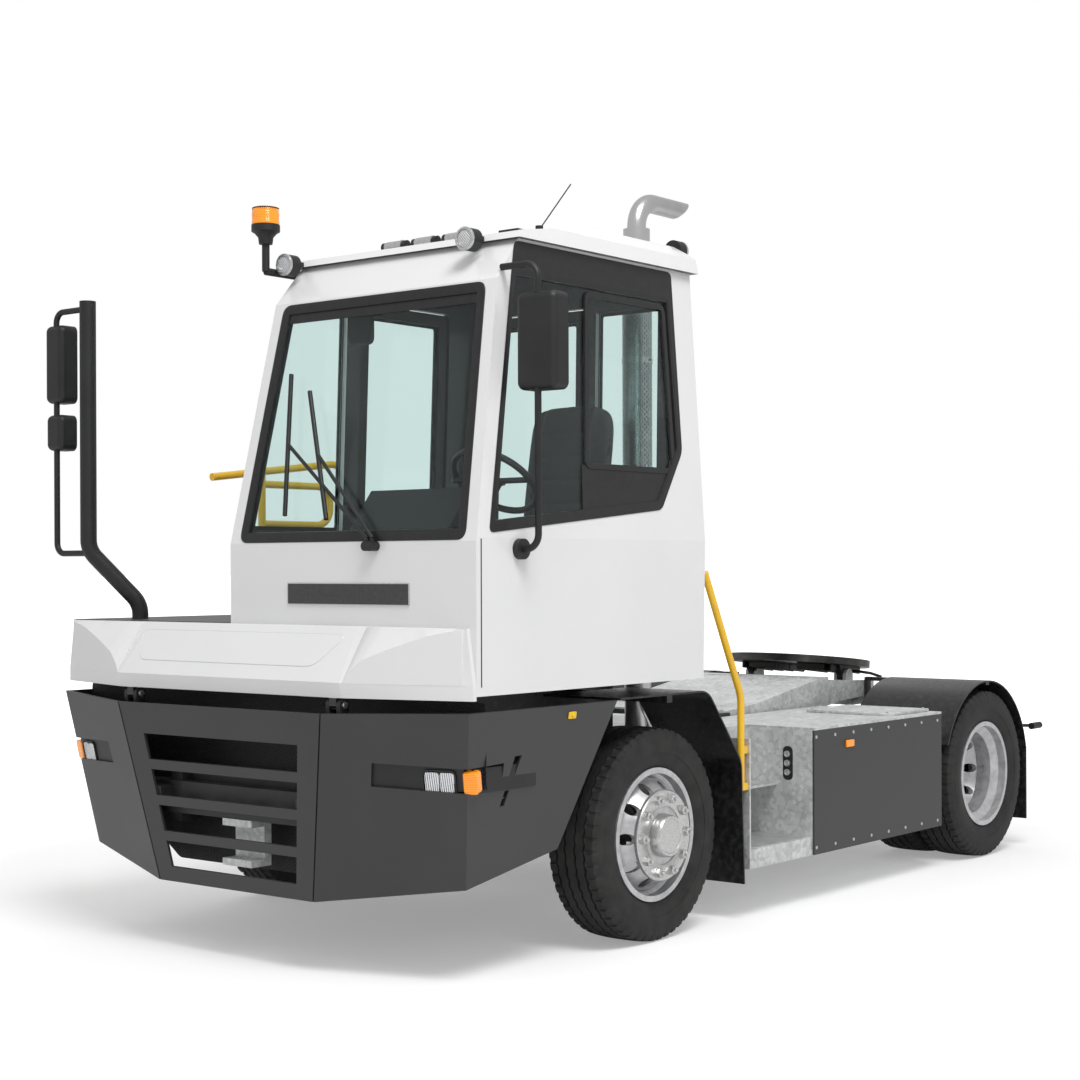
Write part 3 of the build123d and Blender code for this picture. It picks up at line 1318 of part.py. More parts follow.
for side_name, side in (("left", 1), ("right", -1)):
    front_y = side * FRONT_WHEEL_Y
    with BuildPart() as tyre_front:
        tyre_at(front_axle_x, front_y)
    finish_part(tyre_front, "tyre_front_" + side_name)

    with BuildPart() as rim_front:
        rim_at(front_axle_x, front_y, side)
        seat_y = front_y + side * WHEEL_OFFSET
        hub_at(front_axle_x, seat_y - side * HUB_DEPTH, seat_y, HUB_CAP_LENGTH)
        turned(
            [
                (side * (WHEEL_OFFSET - DISC_WALL), hub_bore / 2),
                (side * WHEEL_OFFSET, hub_bore / 2),
                (side * WHEEL_OFFSET, DISC_SEAT_RADIUS / 2),
                (side * (WHEEL_OFFSET - DISC_WALL), DISC_SEAT_RADIUS / 2),
            ],
            front_axle_x,
            front_y,
        )
        nuts_at(front_axle_x, seat_y, side)
    finish_part(rim_front, "rim_front_" + side_name)

    with BuildPart() as tyres_rear:
        tyre_at(rear_axle_x, side * REAR_OUTER_WHEEL_Y)
        tyre_at(rear_axle_x, side * rear_inner_wheel_y)
    finish_part(tyres_rear, "tyres_rear_" + side_name)

    with BuildPart() as rims_rear:
        rim_at(rear_axle_x, side * REAR_OUTER_WHEEL_Y, -side)
        rim_at(rear_axle_x, side * rear_inner_wheel_y, side)
        hub_at(
            rear_axle_x,
            side * (rear_disc_y - HUB_DEPTH),
            side * (rear_disc_y + HUB_DEPTH),
            HUB_CAP_LENGTH,
        )
        nuts_at(rear_axle_x, side * (rear_disc_y + DISC_WALL), side)
    finish_part(rims_rear, "rims_rear_" + side_name)

# Steering knuckles: a yoke round the axle's eye, a kingpin and a stub axle.
KINGPIN_Y = 880.0
KINGPIN_DIAMETER = 50.0
EYE_DIAMETER = 100.0
EYE_HEIGHT = 120.0
YOKE_THICKNESS = 32.0
YOKE_WIDTH = 110.0
YOKE_GAP = 6.0
YOKE_REACH = 66.0
YOKE_WEB = 36.0
STEERING_ARM_LENGTH = 190.0
STEERING_ARM_INWARD = 40.0
STEERING_ARM_WIDTH = 50.0
STEERING_ARM_THICKNESS = 26.0
TIE_ROD_DIAMETER = 36.0
TIE_ROD_GAP = 8.0
TIE_ROD_PLAY = 0.3
TIE_ROD_BOSS = 44.0

eye_top = TYRE_RADIUS + EYE_HEIGHT / 2
eye_low = TYRE_RADIUS - EYE_HEIGHT / 2
yoke_top = eye_top + YOKE_GAP + YOKE_THICKNESS
yoke_low = eye_low - YOKE_GAP - YOKE_THICKNESS
for side_name, side in (("left", 1), ("right", -1)):
    web_in = side * (KINGPIN_Y + YOKE_REACH)
    web_out = side * (KINGPIN_Y + YOKE_REACH + YOKE_WEB)
    pin_y = side * KINGPIN_Y
    with BuildPart() as knuckle:
        for low in (yoke_low, eye_top + YOKE_GAP):
            block(
                (front_axle_x - YOKE_WIDTH / 2, min(pin_y, web_out), low),
                (front_axle_x + YOKE_WIDTH / 2, max(pin_y, web_out), low + YOKE_THICKNESS),
            )
            bar((front_axle_x, pin_y, low), (front_axle_x, pin_y, low + YOKE_THICKNESS), YOKE_WIDTH)
        block(
            (front_axle_x - YOKE_WIDTH / 2, min(web_in, web_out), yoke_low),
            (front_axle_x + YOKE_WIDTH / 2, max(web_in, web_out), yoke_top),
        )
        bar((front_axle_x, pin_y, yoke_low), (front_axle_x, pin_y, yoke_top), KINGPIN_DIAMETER)
        stub_end = side * (FRONT_WHEEL_Y + WHEEL_OFFSET - FIT_GAP)
        bar((front_axle_x, web_in, TYRE_RADIUS), (front_axle_x, stub_end, TYRE_RADIUS), STUB_DIAMETER)
        arm_low = yoke_low
        arm_y = side * (KINGPIN_Y - STEERING_ARM_INWARD)
        block(
            (front_axle_x - STEERING_ARM_LENGTH, min(arm_y, pin_y), arm_low),
            (front_axle_x, max(arm_y, pin_y), arm_low + STEERING_ARM_THICKNESS),
        )
    finish_part(knuckle, "knuckle_" + side_name)

# The tie rod lies above the ends of the steering arms and moves across with them.
tie_rod_x = front_axle_x - STEERING_ARM_LENGTH + STEERING_ARM_WIDTH / 2
tie_rod_z = yoke_low + STEERING_ARM_THICKNESS + TIE_ROD_GAP + TIE_ROD_DIAMETER / 2
tie_rod_half = KINGPIN_Y - STEERING_ARM_INWARD / 2
with BuildPart() as tie_rod:
    bar((tie_rod_x, -tie_rod_half, tie_rod_z), (tie_rod_x, tie_rod_half, tie_rod_z), TIE_ROD_DIAMETER)
    for side in (1, -1):
        end_y = side * (KINGPIN_Y - STEERING_ARM_INWARD / 2)
        bar(
            (tie_rod_x, end_y, yoke_low + STEERING_ARM_THICKNESS + TIE_ROD_PLAY),
            (tie_rod_x, end_y, tie_rod_z + TIE_ROD_DIAMETER * 2 / 3),
            TIE_ROD_BOSS,
        )
finish_part(tie_rod, "tie_rod")

# Front axle: a beam with an eye at each end, on two leaf springs under the rails.
BEAM_HEIGHT = 90.0
BEAM_WIDTH = 90.0
BEAM_DROP = 15.0
SPRING_WIDTH = 70.0
SPRING_THICKNESS = 40.0
SPRING_HALF = 560.0

beam_top = TYRE_RADIUS + BEAM_HEIGHT / 2 - BEAM_DROP
with BuildPart() as front_axle:
    block(
        (front_axle_x - BEAM_WIDTH / 2, -KINGPIN_Y + EYE_DIAMETER / 3, beam_top - BEAM_HEIGHT),
        (front_axle_x + BEAM_WIDTH / 2, KINGPIN_Y - EYE_DIAMETER / 3, beam_top),
    )
    for side in (1, -1):
        bar(
            (front_axle_x, side * KINGPIN_Y, eye_low),
            (front_axle_x, side * KINGPIN_Y, eye_top),
            EYE_DIAMETER,
        )
    for side in (1, -1):
        bar(
            (front_axle_x, side * KINGPIN_Y, eye_low - OVERRUN),
            (front_axle_x, side * KINGPIN_Y, eye_top + OVERRUN),
            KINGPIN_DIAMETER + 2 * PIN_CLEARANCE,
            Mode.SUBTRACT,
        )
finish_part(front_axle, "front_axle")

spring_outline = [
    (front_axle_x - SPRING_HALF, RAIL_BOTTOM - FIT_GAP),
    (front_axle_x - SPRING_HALF, RAIL_BOTTOM - SPRING_THICKNESS),
    (front_axle_x - BEAM_WIDTH / 2, beam_top + FIT_GAP),
    (front_axle_x + BEAM_WIDTH / 2, beam_top + FIT_GAP),
    (front_axle_x + SPRING_HALF, RAIL_BOTTOM - SPRING_THICKNESS),
    (front_axle_x + SPRING_HALF, RAIL_BOTTOM - FIT_GAP),
    (front_axle_x + SPRING_HALF - SPRING_THICKNESS, RAIL_BOTTOM - FIT_GAP),
    (front_axle_x + BEAM_WIDTH, beam_top + SPRING_THICKNESS),
    (front_axle_x - BEAM_WIDTH, beam_top + SPRING_THICKNESS),
    (front_axle_x - SPRING_HALF + SPRING_THICKNESS, RAIL_BOTTOM - FIT_GAP),
]
with BuildPart() as leaf_springs:
    side_slab(spring_outline, RAIL_SPREAD - SPRING_WIDTH / 2, RAIL_SPREAD + SPRING_WIDTH / 2)
    mirror(about=Plane.XZ)
finish_part(leaf_springs, "leaf_springs")

# Rear axle: a housing with a differential bowl, bolted up under the rails.
AXLE_TUBE = 130.0
BOWL_DIAMETER = 400.0
BOWL_WIDTH = 260.0
AXLE_PAD = 120.0
SHAFT_DIAMETER = 90.0
SHAFT_FRONT_HEIGHT = 530.0
GEARBOX_BEHIND = 960.0
SHAFT_GAP = 2.0
GEARBOX_WIDTH = 380.0
GEARBOX_BOTTOM = 430.0
GEARBOX_TOP = 640.0

with BuildPart() as rear_axle:
    stub_start = rear_disc_y - HUB_DEPTH - FIT_GAP
    stub_end = rear_disc_y + HUB_DEPTH - FIT_GAP
    bar((rear_axle_x, -stub_start, TYRE_RADIUS), (rear_axle_x, stub_start, TYRE_RADIUS), AXLE_TUBE)
    bar((rear_axle_x, -stub_end, TYRE_RADIUS), (rear_axle_x, stub_end, TYRE_RADIUS), STUB_DIAMETER)
    bar(
        (rear_axle_x, -BOWL_WIDTH / 2, TYRE_RADIUS),
        (rear_axle_x, BOWL_WIDTH / 2, TYRE_RADIUS),
        BOWL_DIAMETER,
    )
    for side in (1, -1):
        block(
            (rear_axle_x - AXLE_PAD / 2, side * RAIL_SPREAD - RAIL_WIDTH / 2, TYRE_RADIUS),
            (rear_axle_x + AXLE_PAD / 2, side * RAIL_SPREAD + RAIL_WIDTH / 2, RAIL_BOTTOM - FIT_GAP),
        )
    bar(
        (rear_axle_x + BOWL_DIAMETER / 2 - AXLE_PAD / 3, 0, TYRE_RADIUS),
        (front_axle_x - GEARBOX_BEHIND - SHAFT_GAP, 0, SHAFT_FRONT_HEIGHT),
        SHAFT_DIAMETER,
    )
finish_part(rear_axle, "rear_axle")

# Engine with its gearbox, as one plain block between the rails, and the radiator.
ENGINE_FRONT_AHEAD = 560.0
ENGINE_REAR_BEHIND = 500.0
ENGINE_WIDTH = 600.0
ENGINE_BOTTOM = 600.0
ENGINE_TOP = 1075.0
ENGINE_MOUNT = 60.0
RADIATOR_AHEAD = 980.0
RADIATOR_DEPTH = 110.0
RADIATOR_WIDTH = 640.0
RADIATOR_BOTTOM = 480.0
RADIATOR_TOP = 1060.0

with BuildPart() as engine_block:
    block(
        (front_axle_x - ENGINE_REAR_BEHIND, -ENGINE_WIDTH / 2, ENGINE_BOTTOM),
        (front_axle_x + ENGINE_FRONT_AHEAD, ENGINE_WIDTH / 2, ENGINE_TOP),
    )
    block(
        (front_axle_x - GEARBOX_BEHIND, -GEARBOX_WIDTH / 2, GEARBOX_BOTTOM),
        (front_axle_x - ENGINE_REAR_BEHIND, GEARBOX_WIDTH / 2, GEARBOX_TOP),
    )
    for place in (-ENGINE_REAR_BEHIND, ENGINE_FRONT_AHEAD - ENGINE_MOUNT):
        block(
            (front_axle_x + place, -rail_inner + FIT_GAP, rail_top - ENGINE_MOUNT),
            (front_axle_x + place + ENGINE_MOUNT, rail_inner - FIT_GAP, rail_top),
        )
finish_part(engine_block, "engine_block")

with BuildPart() as radiator:
    block(
        (front_axle_x + RADIATOR_AHEAD, -RADIATOR_WIDTH / 2, RADIATOR_BOTTOM),
        (front_axle_x + RADIATOR_AHEAD + RADIATOR_DEPTH, RADIATOR_WIDTH / 2, RADIATOR_TOP),
    )
    block(
        (front_axle_x + RADIATOR_AHEAD, -rail_inner + FIT_GAP, RAIL_BOTTOM),
        (front_axle_x + RADIATOR_AHEAD + RADIATOR_DEPTH, rail_inner - FIT_GAP, RAIL_BOTTOM + ENGINE_MOUNT),
    )
finish_part(radiator, "radiator")

# Cab tilt hinge: brackets on the frame, each with a pin through a lug of the cowl.
TILT_EAR = 20.0
FRONT_BEAM_SETBACK = 200.0
FRONT_BEAM_DEPTH = 70.0
FRONT_BEAM_LOW = 600.0
FRONT_BEAM_HIGH = 740.0
PORTAL_BEHIND = 270.0
PORTAL_DEPTH = 90.0
PORTAL_HALF = 560.0
PORTAL_BAR = 80.0
OUTRIGGER_AHEAD = 1000.0
OUTRIGGER_WIDTH = 60.0
OUTRIGGER_LOW = 640.0
OUTRIGGER_HIGH = 720.0

# Lift boom: two side plates and a cover, hinged on the frame ahead of the axle.
BOOM_HINGE_AHEAD = 1570.0
BOOM_HINGE_HEIGHT = 850.0
BOOM_WIDTH = 900.0
BOOM_PLATE = 20.0
BOOM_REAR_BEHIND = 110.0
BOOM_EYE = 110.0
BOOM_PIN = 60.0
BOOM_COVER = 10.0
# Shares of the run from hinge to rear end, and of the height above the rail top.
boom_outline_shares = (
    (0.00, 0.12),
    (0.42, 0.10),
    (0.76, 0.42),
    (1.00, 0.50),
    (1.00, 0.86),
    (0.83, 0.90),
    (0.61, 1.00),
    (0.22, 0.58),
    (0.09, 0.50),
    (0.00, 0.46),
)
BOOM_TOP = 1020.0

BRACKET_TRIM = 120.0
CENTER_BRACKET_IN = 420.0
CENTER_BRACKET_OUT = 500.0
CORNER_BRACKET_IN = 580.0
CORNER_BRACKET_OUT = 660.0

front_beam_front = front_x - FRONT_BEAM_SETBACK + FRONT_BEAM_DEPTH
outrigger_x = front_axle_x + OUTRIGGER_AHEAD
bumper_bracket_boxes = (
    # y low, y high, x low, x high, z low, z high
    (rail_outer, half_width, outrigger_x - OUTRIGGER_WIDTH, outrigger_x, OUTRIGGER_LOW, OUTRIGGER_HIGH),
    (CENTER_BRACKET_IN, CENTER_BRACKET_OUT, front_beam_front, front_x, OUTRIGGER_LOW, OUTRIGGER_HIGH),
    (CORNER_BRACKET_IN, CORNER_BRACKET_OUT, front_beam_front, front_x, OUTRIGGER_LOW, OUTRIGGER_HIGH),
)

boom_hinge_x = rear_axle_x + BOOM_HINGE_AHEAD
boom_rear_x = rear_axle_x - BOOM_REAR_BEHIND
boom_size = (boom_rear_x - boom_hinge_x, BOOM_TOP - rail_top)
boom_outline = scaled(boom_outline_shares, (boom_hinge_x, rail_top), boom_size)
boom_outer = BOOM_WIDTH / 2
boom_inner = boom_outer - BOOM_PLATE

# Lift cylinders: the places of the base pin and of the rod's eye, ahead of the rear axle.
LIFT_BASE_AHEAD = 970.0
LIFT_BASE_HEIGHT = 460.0
LIFT_EYE_AHEAD = 460.0
LIFT_EYE_HEIGHT = 860.0
LIFT_Y = 260.0
LIFT_BARREL = 110.0
LIFT_ROD = 60.0
LIFT_PIN = 40.0
LIFT_EYE = 90.0
LIFT_EYE_WIDTH = 60.0
LIFT_BARREL_SHARE = 0.72
LIFT_EYE_CLEARANCE = 11.0

lift_base = (rear_axle_x + LIFT_BASE_AHEAD, LIFT_BASE_HEIGHT)
lift_eye = (rear_axle_x + LIFT_EYE_AHEAD, LIFT_EYE_HEIGHT)

with BuildPart() as chassis_frame:
    for side in (1, -1):
        block(
            (rail_rear, min(side * rail_inner, side * rail_outer), RAIL_BOTTOM),
            (rail_front, max(side * rail_inner, side * rail_outer), rail_top),
        )
    for share in cross_member_shares:
        member_x = rail_front + (rail_rear - rail_front) * share
        block(
            (member_x - CROSS_MEMBER_WIDTH / 2, -rail_inner, rail_top - CROSS_MEMBER_HEIGHT),
            (member_x + CROSS_MEMBER_WIDTH / 2, rail_inner, rail_top),
        )
    # Front beam and the two tilt brackets.
    block(
        (front_x - FRONT_BEAM_SETBACK, -TILT_Y - TILT_LUG, FRONT_BEAM_LOW),
        (front_x - FRONT_BEAM_SETBACK + FRONT_BEAM_DEPTH, TILT_Y + TILT_LUG, FRONT_BEAM_HIGH),
    )
    for side in (1, -1):
        for ear in (1, -1):
            ear_y = side * TILT_Y + ear * (TILT_LUG / 2 + PIN_CLEARANCE + TILT_EAR / 2)
            side_slab(
                [
                    (tilt_x - TILT_LUG_DIAMETER, FRONT_BEAM_HIGH - FRONT_BEAM_DEPTH),
                    (tilt_x, FRONT_BEAM_HIGH - FRONT_BEAM_DEPTH),
                    (tilt_x + TILT_LUG_DIAMETER / 2, TILT_HEIGHT),
                    (tilt_x - TILT_LUG_DIAMETER / 2, TILT_HEIGHT),
                ],
                ear_y - TILT_EAR / 2,
                ear_y + TILT_EAR / 2,
            )
            bar(
                (tilt_x, ear_y - TILT_EAR / 2, TILT_HEIGHT),
                (tilt_x, ear_y + TILT_EAR / 2, TILT_HEIGHT),
                TILT_LUG_DIAMETER,
            )
        bar(
            (tilt_x, side * TILT_Y - TILT_LUG / 2 - TILT_EAR, TILT_HEIGHT),
            (tilt_x, side * TILT_Y + TILT_LUG / 2 + TILT_EAR, TILT_HEIGHT),
            TILT_PIN,
        )
    # Outriggers and short brackets, cut back to seat on the bumper's inner faces.
    for low_y, high_y, low_x, high_x, low_z, high_z in bumper_bracket_boxes:
        block((low_x, low_y, low_z), (high_x, high_y, high_z))
        block((low_x, -high_y, low_z), (high_x, -low_y, high_z))
    for corners in (center_facet, corner_facet, side_facet):
        mirrored = [(x, -y, z) for x, y, z in corners][::-1]
        facet(corners, BUMPER_WALL + FIT_GAP, Mode.SUBTRACT, BRACKET_TRIM)
        facet(mirrored, BUMPER_WALL + FIT_GAP, Mode.SUBTRACT, BRACKET_TRIM)
    # Portal behind the engine, which carries the back of the cab.
    portal_x = front_axle_x - PORTAL_BEHIND
    for side in (1, -1):
        block(
            (portal_x, side * RAIL_SPREAD - RAIL_WIDTH / 2, rail_top),
            (portal_x + PORTAL_DEPTH, side * RAIL_SPREAD + RAIL_WIDTH / 2, CAB_BASE - PORTAL_BAR),
        )
    block(
        (portal_x, -PORTAL_HALF, CAB_BASE - PORTAL_BAR),
        (portal_x + PORTAL_DEPTH, PORTAL_HALF, CAB_BASE - FIT_GAP),
    )
    # Boom brackets with their pins, outside the boom's side plates.
    for side in (1, -1):
        ear_in = side * (boom_outer + PIN_CLEARANCE)
        ear_out = side * (boom_outer + PIN_CLEARANCE + BOOM_PLATE)
        side_slab(
            [
                (boom_hinge_x - BOOM_EYE, RAIL_BOTTOM + FIT_GAP),
                (boom_hinge_x + BOOM_EYE, RAIL_BOTTOM + FIT_GAP),
                (boom_hinge_x + BOOM_EYE / 2, BOOM_HINGE_HEIGHT + BOOM_EYE / 3),
                (boom_hinge_x - BOOM_EYE / 2, BOOM_HINGE_HEIGHT + BOOM_EYE / 3),
            ],
            min(ear_in, ear_out),
            max(ear_in, ear_out),
        )
        foot_y = sorted((side * rail_outer, ear_out))
        block(
            (boom_hinge_x - BOOM_EYE, foot_y[0], RAIL_BOTTOM + FIT_GAP),
            (boom_hinge_x + BOOM_EYE, foot_y[1], rail_top),
        )
        bar(
            (boom_hinge_x, side * (boom_inner - BOOM_PLATE), BOOM_HINGE_HEIGHT),
            (boom_hinge_x, ear_out, BOOM_HINGE_HEIGHT),
            BOOM_PIN,
        )
    # Lift cylinder brackets on their own cross member.
    block(
        (lift_base[0] + LIFT_EYE / 2, -rail_inner, RAIL_BOTTOM),
        (lift_base[0] + LIFT_EYE / 2 + CROSS_MEMBER_WIDTH, rail_inner, RAIL_BOTTOM + CROSS_MEMBER_HEIGHT),
    )
    for side in (1, -1):
        for ear in (1, -1):
            ear_y = side * LIFT_Y + ear * (LIFT_EYE_WIDTH / 2 + PIN_CLEARANCE + BOOM_PLATE / 2)
            side_slab(
                [
                    (lift_base[0] - LIFT_EYE / 2, lift_base[1] - LIFT_EYE / 2),
                    (lift_base[0] + LIFT_EYE, lift_base[1] - LIFT_EYE / 2),
                    (lift_base[0] + LIFT_EYE, RAIL_BOTTOM + LIFT_EYE / 2),
                    (lift_base[0] + LIFT_EYE / 2, RAIL_BOTTOM + LIFT_EYE / 2),
                    (lift_base[0] - LIFT_EYE / 2, lift_base[1] + LIFT_EYE / 2),
                ],
                ear_y - BOOM_PLATE / 2,
                ear_y + BOOM_PLATE / 2,
            )
        bar(
            (lift_base[0], side * LIFT_Y - LIFT_EYE_WIDTH / 2 - BOOM_PLATE, lift_base[1]),
            (lift_base[0], side * LIFT_Y + LIFT_EYE_WIDTH / 2 + BOOM_PLATE, lift_base[1]),
            LIFT_PIN,
        )
finish_part(chassis_frame, "chassis_frame")

# Boom weldment: side plates with an eye, a folded cover, cross tubes and rod lugs.
BOOM_COVER_END = 1080.0
BOOM_CROSS_TUBE = 120.0
boom_cross_tube_shares = ((0.14, 0.36), (0.50, 0.55))
BOOM_BEAM_DEPTH = 120.0
BOOM_BEAM_HEIGHT = 110.0
PEDESTAL_DEPTH = 220.0
PEDESTAL_HEIGHT = 110.0

# Fifth wheel: a greased plate with a throat to the rear, on two trunnions.
COUPLING_AHEAD = 20.0
COUPLING_PIVOT_HEIGHT = 1012.0
COUPLING_RADIUS = 430.0
COUPLING_PLATE = 42.0
COUPLING_RISE = 62.0
COUPLING_REST_TILT = 6.0
THROAT_WIDTH = 64.0
THROAT_MOUTH = 330.0
KINGPIN_BORE = 51.0
LOCK_RADIUS = 110.0
LOCK_DEPTH = 40.0
TRUNNION_Y = 315.0
TRUNNION_WIDTH = 40.0
TRUNNION_PIN = 44.0
TRUNNION_EYE = 90.0

coupling_x = rear_axle_x + COUPLING_AHEAD
beam_low_z = LIFT_EYE_HEIGHT + LIFT_EYE / 2 + LIFT_EYE_CLEARANCE
eye_bore = BOOM_PIN + 2 * PIN_CLEARANCE
with BuildPart() as lift_boom:
    for side in (1, -1):
        plate_y = sorted((side * boom_inner, side * boom_outer))
        side_slab(boom_outline, plate_y[0], plate_y[1])
        bar(
            (boom_hinge_x, plate_y[0], BOOM_HINGE_HEIGHT),
            (boom_hinge_x, plate_y[1], BOOM_HINGE_HEIGHT),
            BOOM_EYE,
        )
    cover_top = scaled(
        (boom_outline_shares[9], boom_outline_shares[8], boom_outline_shares[7], boom_outline_shares[6]),
        (boom_hinge_x, rail_top),
        boom_size,
    )
    cover_top = cover_top + [(boom_hinge_x - BOOM_COVER_END, BOOM_TOP)]
    cover_low = [(x, z - BOOM_COVER) for x, z in reversed(cover_top)]
    side_slab(cover_top + cover_low, -boom_inner, boom_inner)
    boom_cross_tubes = scaled(boom_cross_tube_shares, (boom_hinge_x, rail_top), boom_size)
    for place, (x, z) in zip(boom_cross_tube_shares, boom_cross_tubes):
        bar((x, -boom_inner, z), (x, boom_inner, z), BOOM_CROSS_TUBE)
    # Beam over the rod eyes, with a pair of lugs and a pin for each rod.
    block(
        (lift_eye[0] - BOOM_BEAM_DEPTH / 2, -boom_inner, beam_low_z),
        (lift_eye[0] + BOOM_BEAM_DEPTH / 2, boom_inner, beam_low_z + BOOM_BEAM_HEIGHT),
    )
    for side in (1, -1):
        for ear in (1, -1):
            ear_y = side * LIFT_Y + ear * (LIFT_EYE_WIDTH / 2 + PIN_CLEARANCE + BOOM_PLATE / 2)
            side_slab(
                [
                    (lift_eye[0] - BOOM_BEAM_DEPTH / 2, beam_low_z),
                    (lift_eye[0] - LIFT_EYE / 3, lift_eye[1] - LIFT_EYE / 2),
                    (lift_eye[0] + LIFT_EYE / 3, lift_eye[1] - LIFT_EYE / 2),
                    (lift_eye[0] + BOOM_BEAM_DEPTH / 2, beam_low_z),
                ],
                ear_y - BOOM_PLATE / 2,
                ear_y + BOOM_PLATE / 2,
            )
        bar(
            (lift_eye[0], side * LIFT_Y - LIFT_EYE_WIDTH / 2 - BOOM_PLATE, lift_eye[1]),
            (lift_eye[0], side * LIFT_Y + LIFT_EYE_WIDTH / 2 + BOOM_PLATE, lift_eye[1]),
            LIFT_PIN,
        )
    # Pedestal with two pairs of ears for the fifth wheel's trunnions.
    pedestal_top = COUPLING_PIVOT_HEIGHT - TRUNNION_EYE / 2 - LIFT_EYE_CLEARANCE
    block(
        (coupling_x - PEDESTAL_DEPTH / 2, -boom_inner, pedestal_top - PEDESTAL_HEIGHT),
        (coupling_x + PEDESTAL_DEPTH / 2, boom_inner, pedestal_top),
    )
    for side in (1, -1):
        for ear in (1, -1):
            ear_y = side * TRUNNION_Y + ear * (TRUNNION_WIDTH / 2 + PIN_CLEARANCE + BOOM_PLATE / 2)
            block(
                (coupling_x - TRUNNION_PIN, ear_y - BOOM_PLATE / 2, pedestal_top),
                (coupling_x + TRUNNION_PIN, ear_y + BOOM_PLATE / 2, COUPLING_PIVOT_HEIGHT),
            )
            bar(
                (coupling_x, ear_y - BOOM_PLATE / 2, COUPLING_PIVOT_HEIGHT),
                (coupling_x, ear_y + BOOM_PLATE / 2, COUPLING_PIVOT_HEIGHT),
                2 * TRUNNION_PIN,
            )
        bar(
            (coupling_x, side * TRUNNION_Y - TRUNNION_WIDTH / 2 - BOOM_PLATE, COUPLING_PIVOT_HEIGHT),
            (coupling_x, side * TRUNNION_Y + TRUNNION_WIDTH / 2 + BOOM_PLATE, COUPLING_PIVOT_HEIGHT),
            TRUNNION_PIN,
        )
    bar(
        (boom_hinge_x, -boom_outer - OVERRUN, BOOM_HINGE_HEIGHT),
        (boom_hinge_x, boom_outer + OVERRUN, BOOM_HINGE_HEIGHT),
        eye_bore,
        Mode.SUBTRACT,
    )
finish_part(lift_boom, "lift_boom")

# Lift cylinders: barrels on the frame's pins, rods that end in a loose eye.
lift_run = Vector(lift_eye[0] - lift_base[0], 0, lift_eye[1] - lift_base[1])
lift_way = lift_run.normalized()
LIFT_ROD_START_SHARE = 0.16


def along_lift(side, distance):
    """A point on a lift cylinder's axis, at a distance from its base pin."""
    spot = Vector(lift_base[0], side * LIFT_Y, lift_base[1]) + lift_way * distance
    return (spot.X, spot.Y, spot.Z)


with BuildPart() as lift_barrels:
    for side in (1, -1):
        bar(along_lift(side, 0), along_lift(side, lift_run.length * LIFT_BARREL_SHARE), LIFT_BARREL)
        bar(
            along_lift(side, lift_run.length * LIFT_ROD_START_SHARE - PIN_CLEARANCE),
            along_lift(side, lift_run.length),
            LIFT_ROD + 2 * PIN_CLEARANCE,
            Mode.SUBTRACT,
        )
        for y_from, y_to in ((-LIFT_BARREL, -LIFT_EYE_WIDTH / 2), (LIFT_EYE_WIDTH / 2, LIFT_BARREL)):
            bar(
                (lift_base[0], side * LIFT_Y + y_from, lift_base[1]),
                (lift_base[0], side * LIFT_Y + y_to, lift_base[1]),
                LIFT_BARREL + LIFT_EYE,
                Mode.SUBTRACT,
            )
        bar(
            (lift_base[0], side * LIFT_Y - LIFT_EYE_WIDTH / 2, lift_base[1]),
            (lift_base[0], side * LIFT_Y + LIFT_EYE_WIDTH / 2, lift_base[1]),
            LIFT_EYE,
        )
        bar(
            (lift_base[0], side * LIFT_Y - LIFT_EYE_WIDTH, lift_base[1]),
            (lift_base[0], side * LIFT_Y + LIFT_EYE_WIDTH, lift_base[1]),
            LIFT_PIN + 2 * PIN_CLEARANCE,
            Mode.SUBTRACT,
        )
finish_part(lift_barrels, "lift_barrels")

with BuildPart() as lift_rods:
    for side in (1, -1):
        bar(
            along_lift(side, lift_run.length * LIFT_ROD_START_SHARE),
            along_lift(side, lift_run.length - LIFT_EYE / 3),
            LIFT_ROD,
        )
        bar(
            (lift_eye[0], side * LIFT_Y - LIFT_EYE_WIDTH / 2, lift_eye[1]),
            (lift_eye[0], side * LIFT_Y + LIFT_EYE_WIDTH / 2, lift_eye[1]),
            LIFT_EYE,
        )
    for side in (1, -1):
        bar(
            (lift_eye[0], side * LIFT_Y - LIFT_EYE_WIDTH, lift_eye[1]),
            (lift_eye[0], side * LIFT_Y + LIFT_EYE_WIDTH, lift_eye[1]),
            LIFT_PIN + 2 * LIFT_EYE_CLEARANCE,
            Mode.SUBTRACT,
        )
finish_part(lift_rods, "lift_rods")

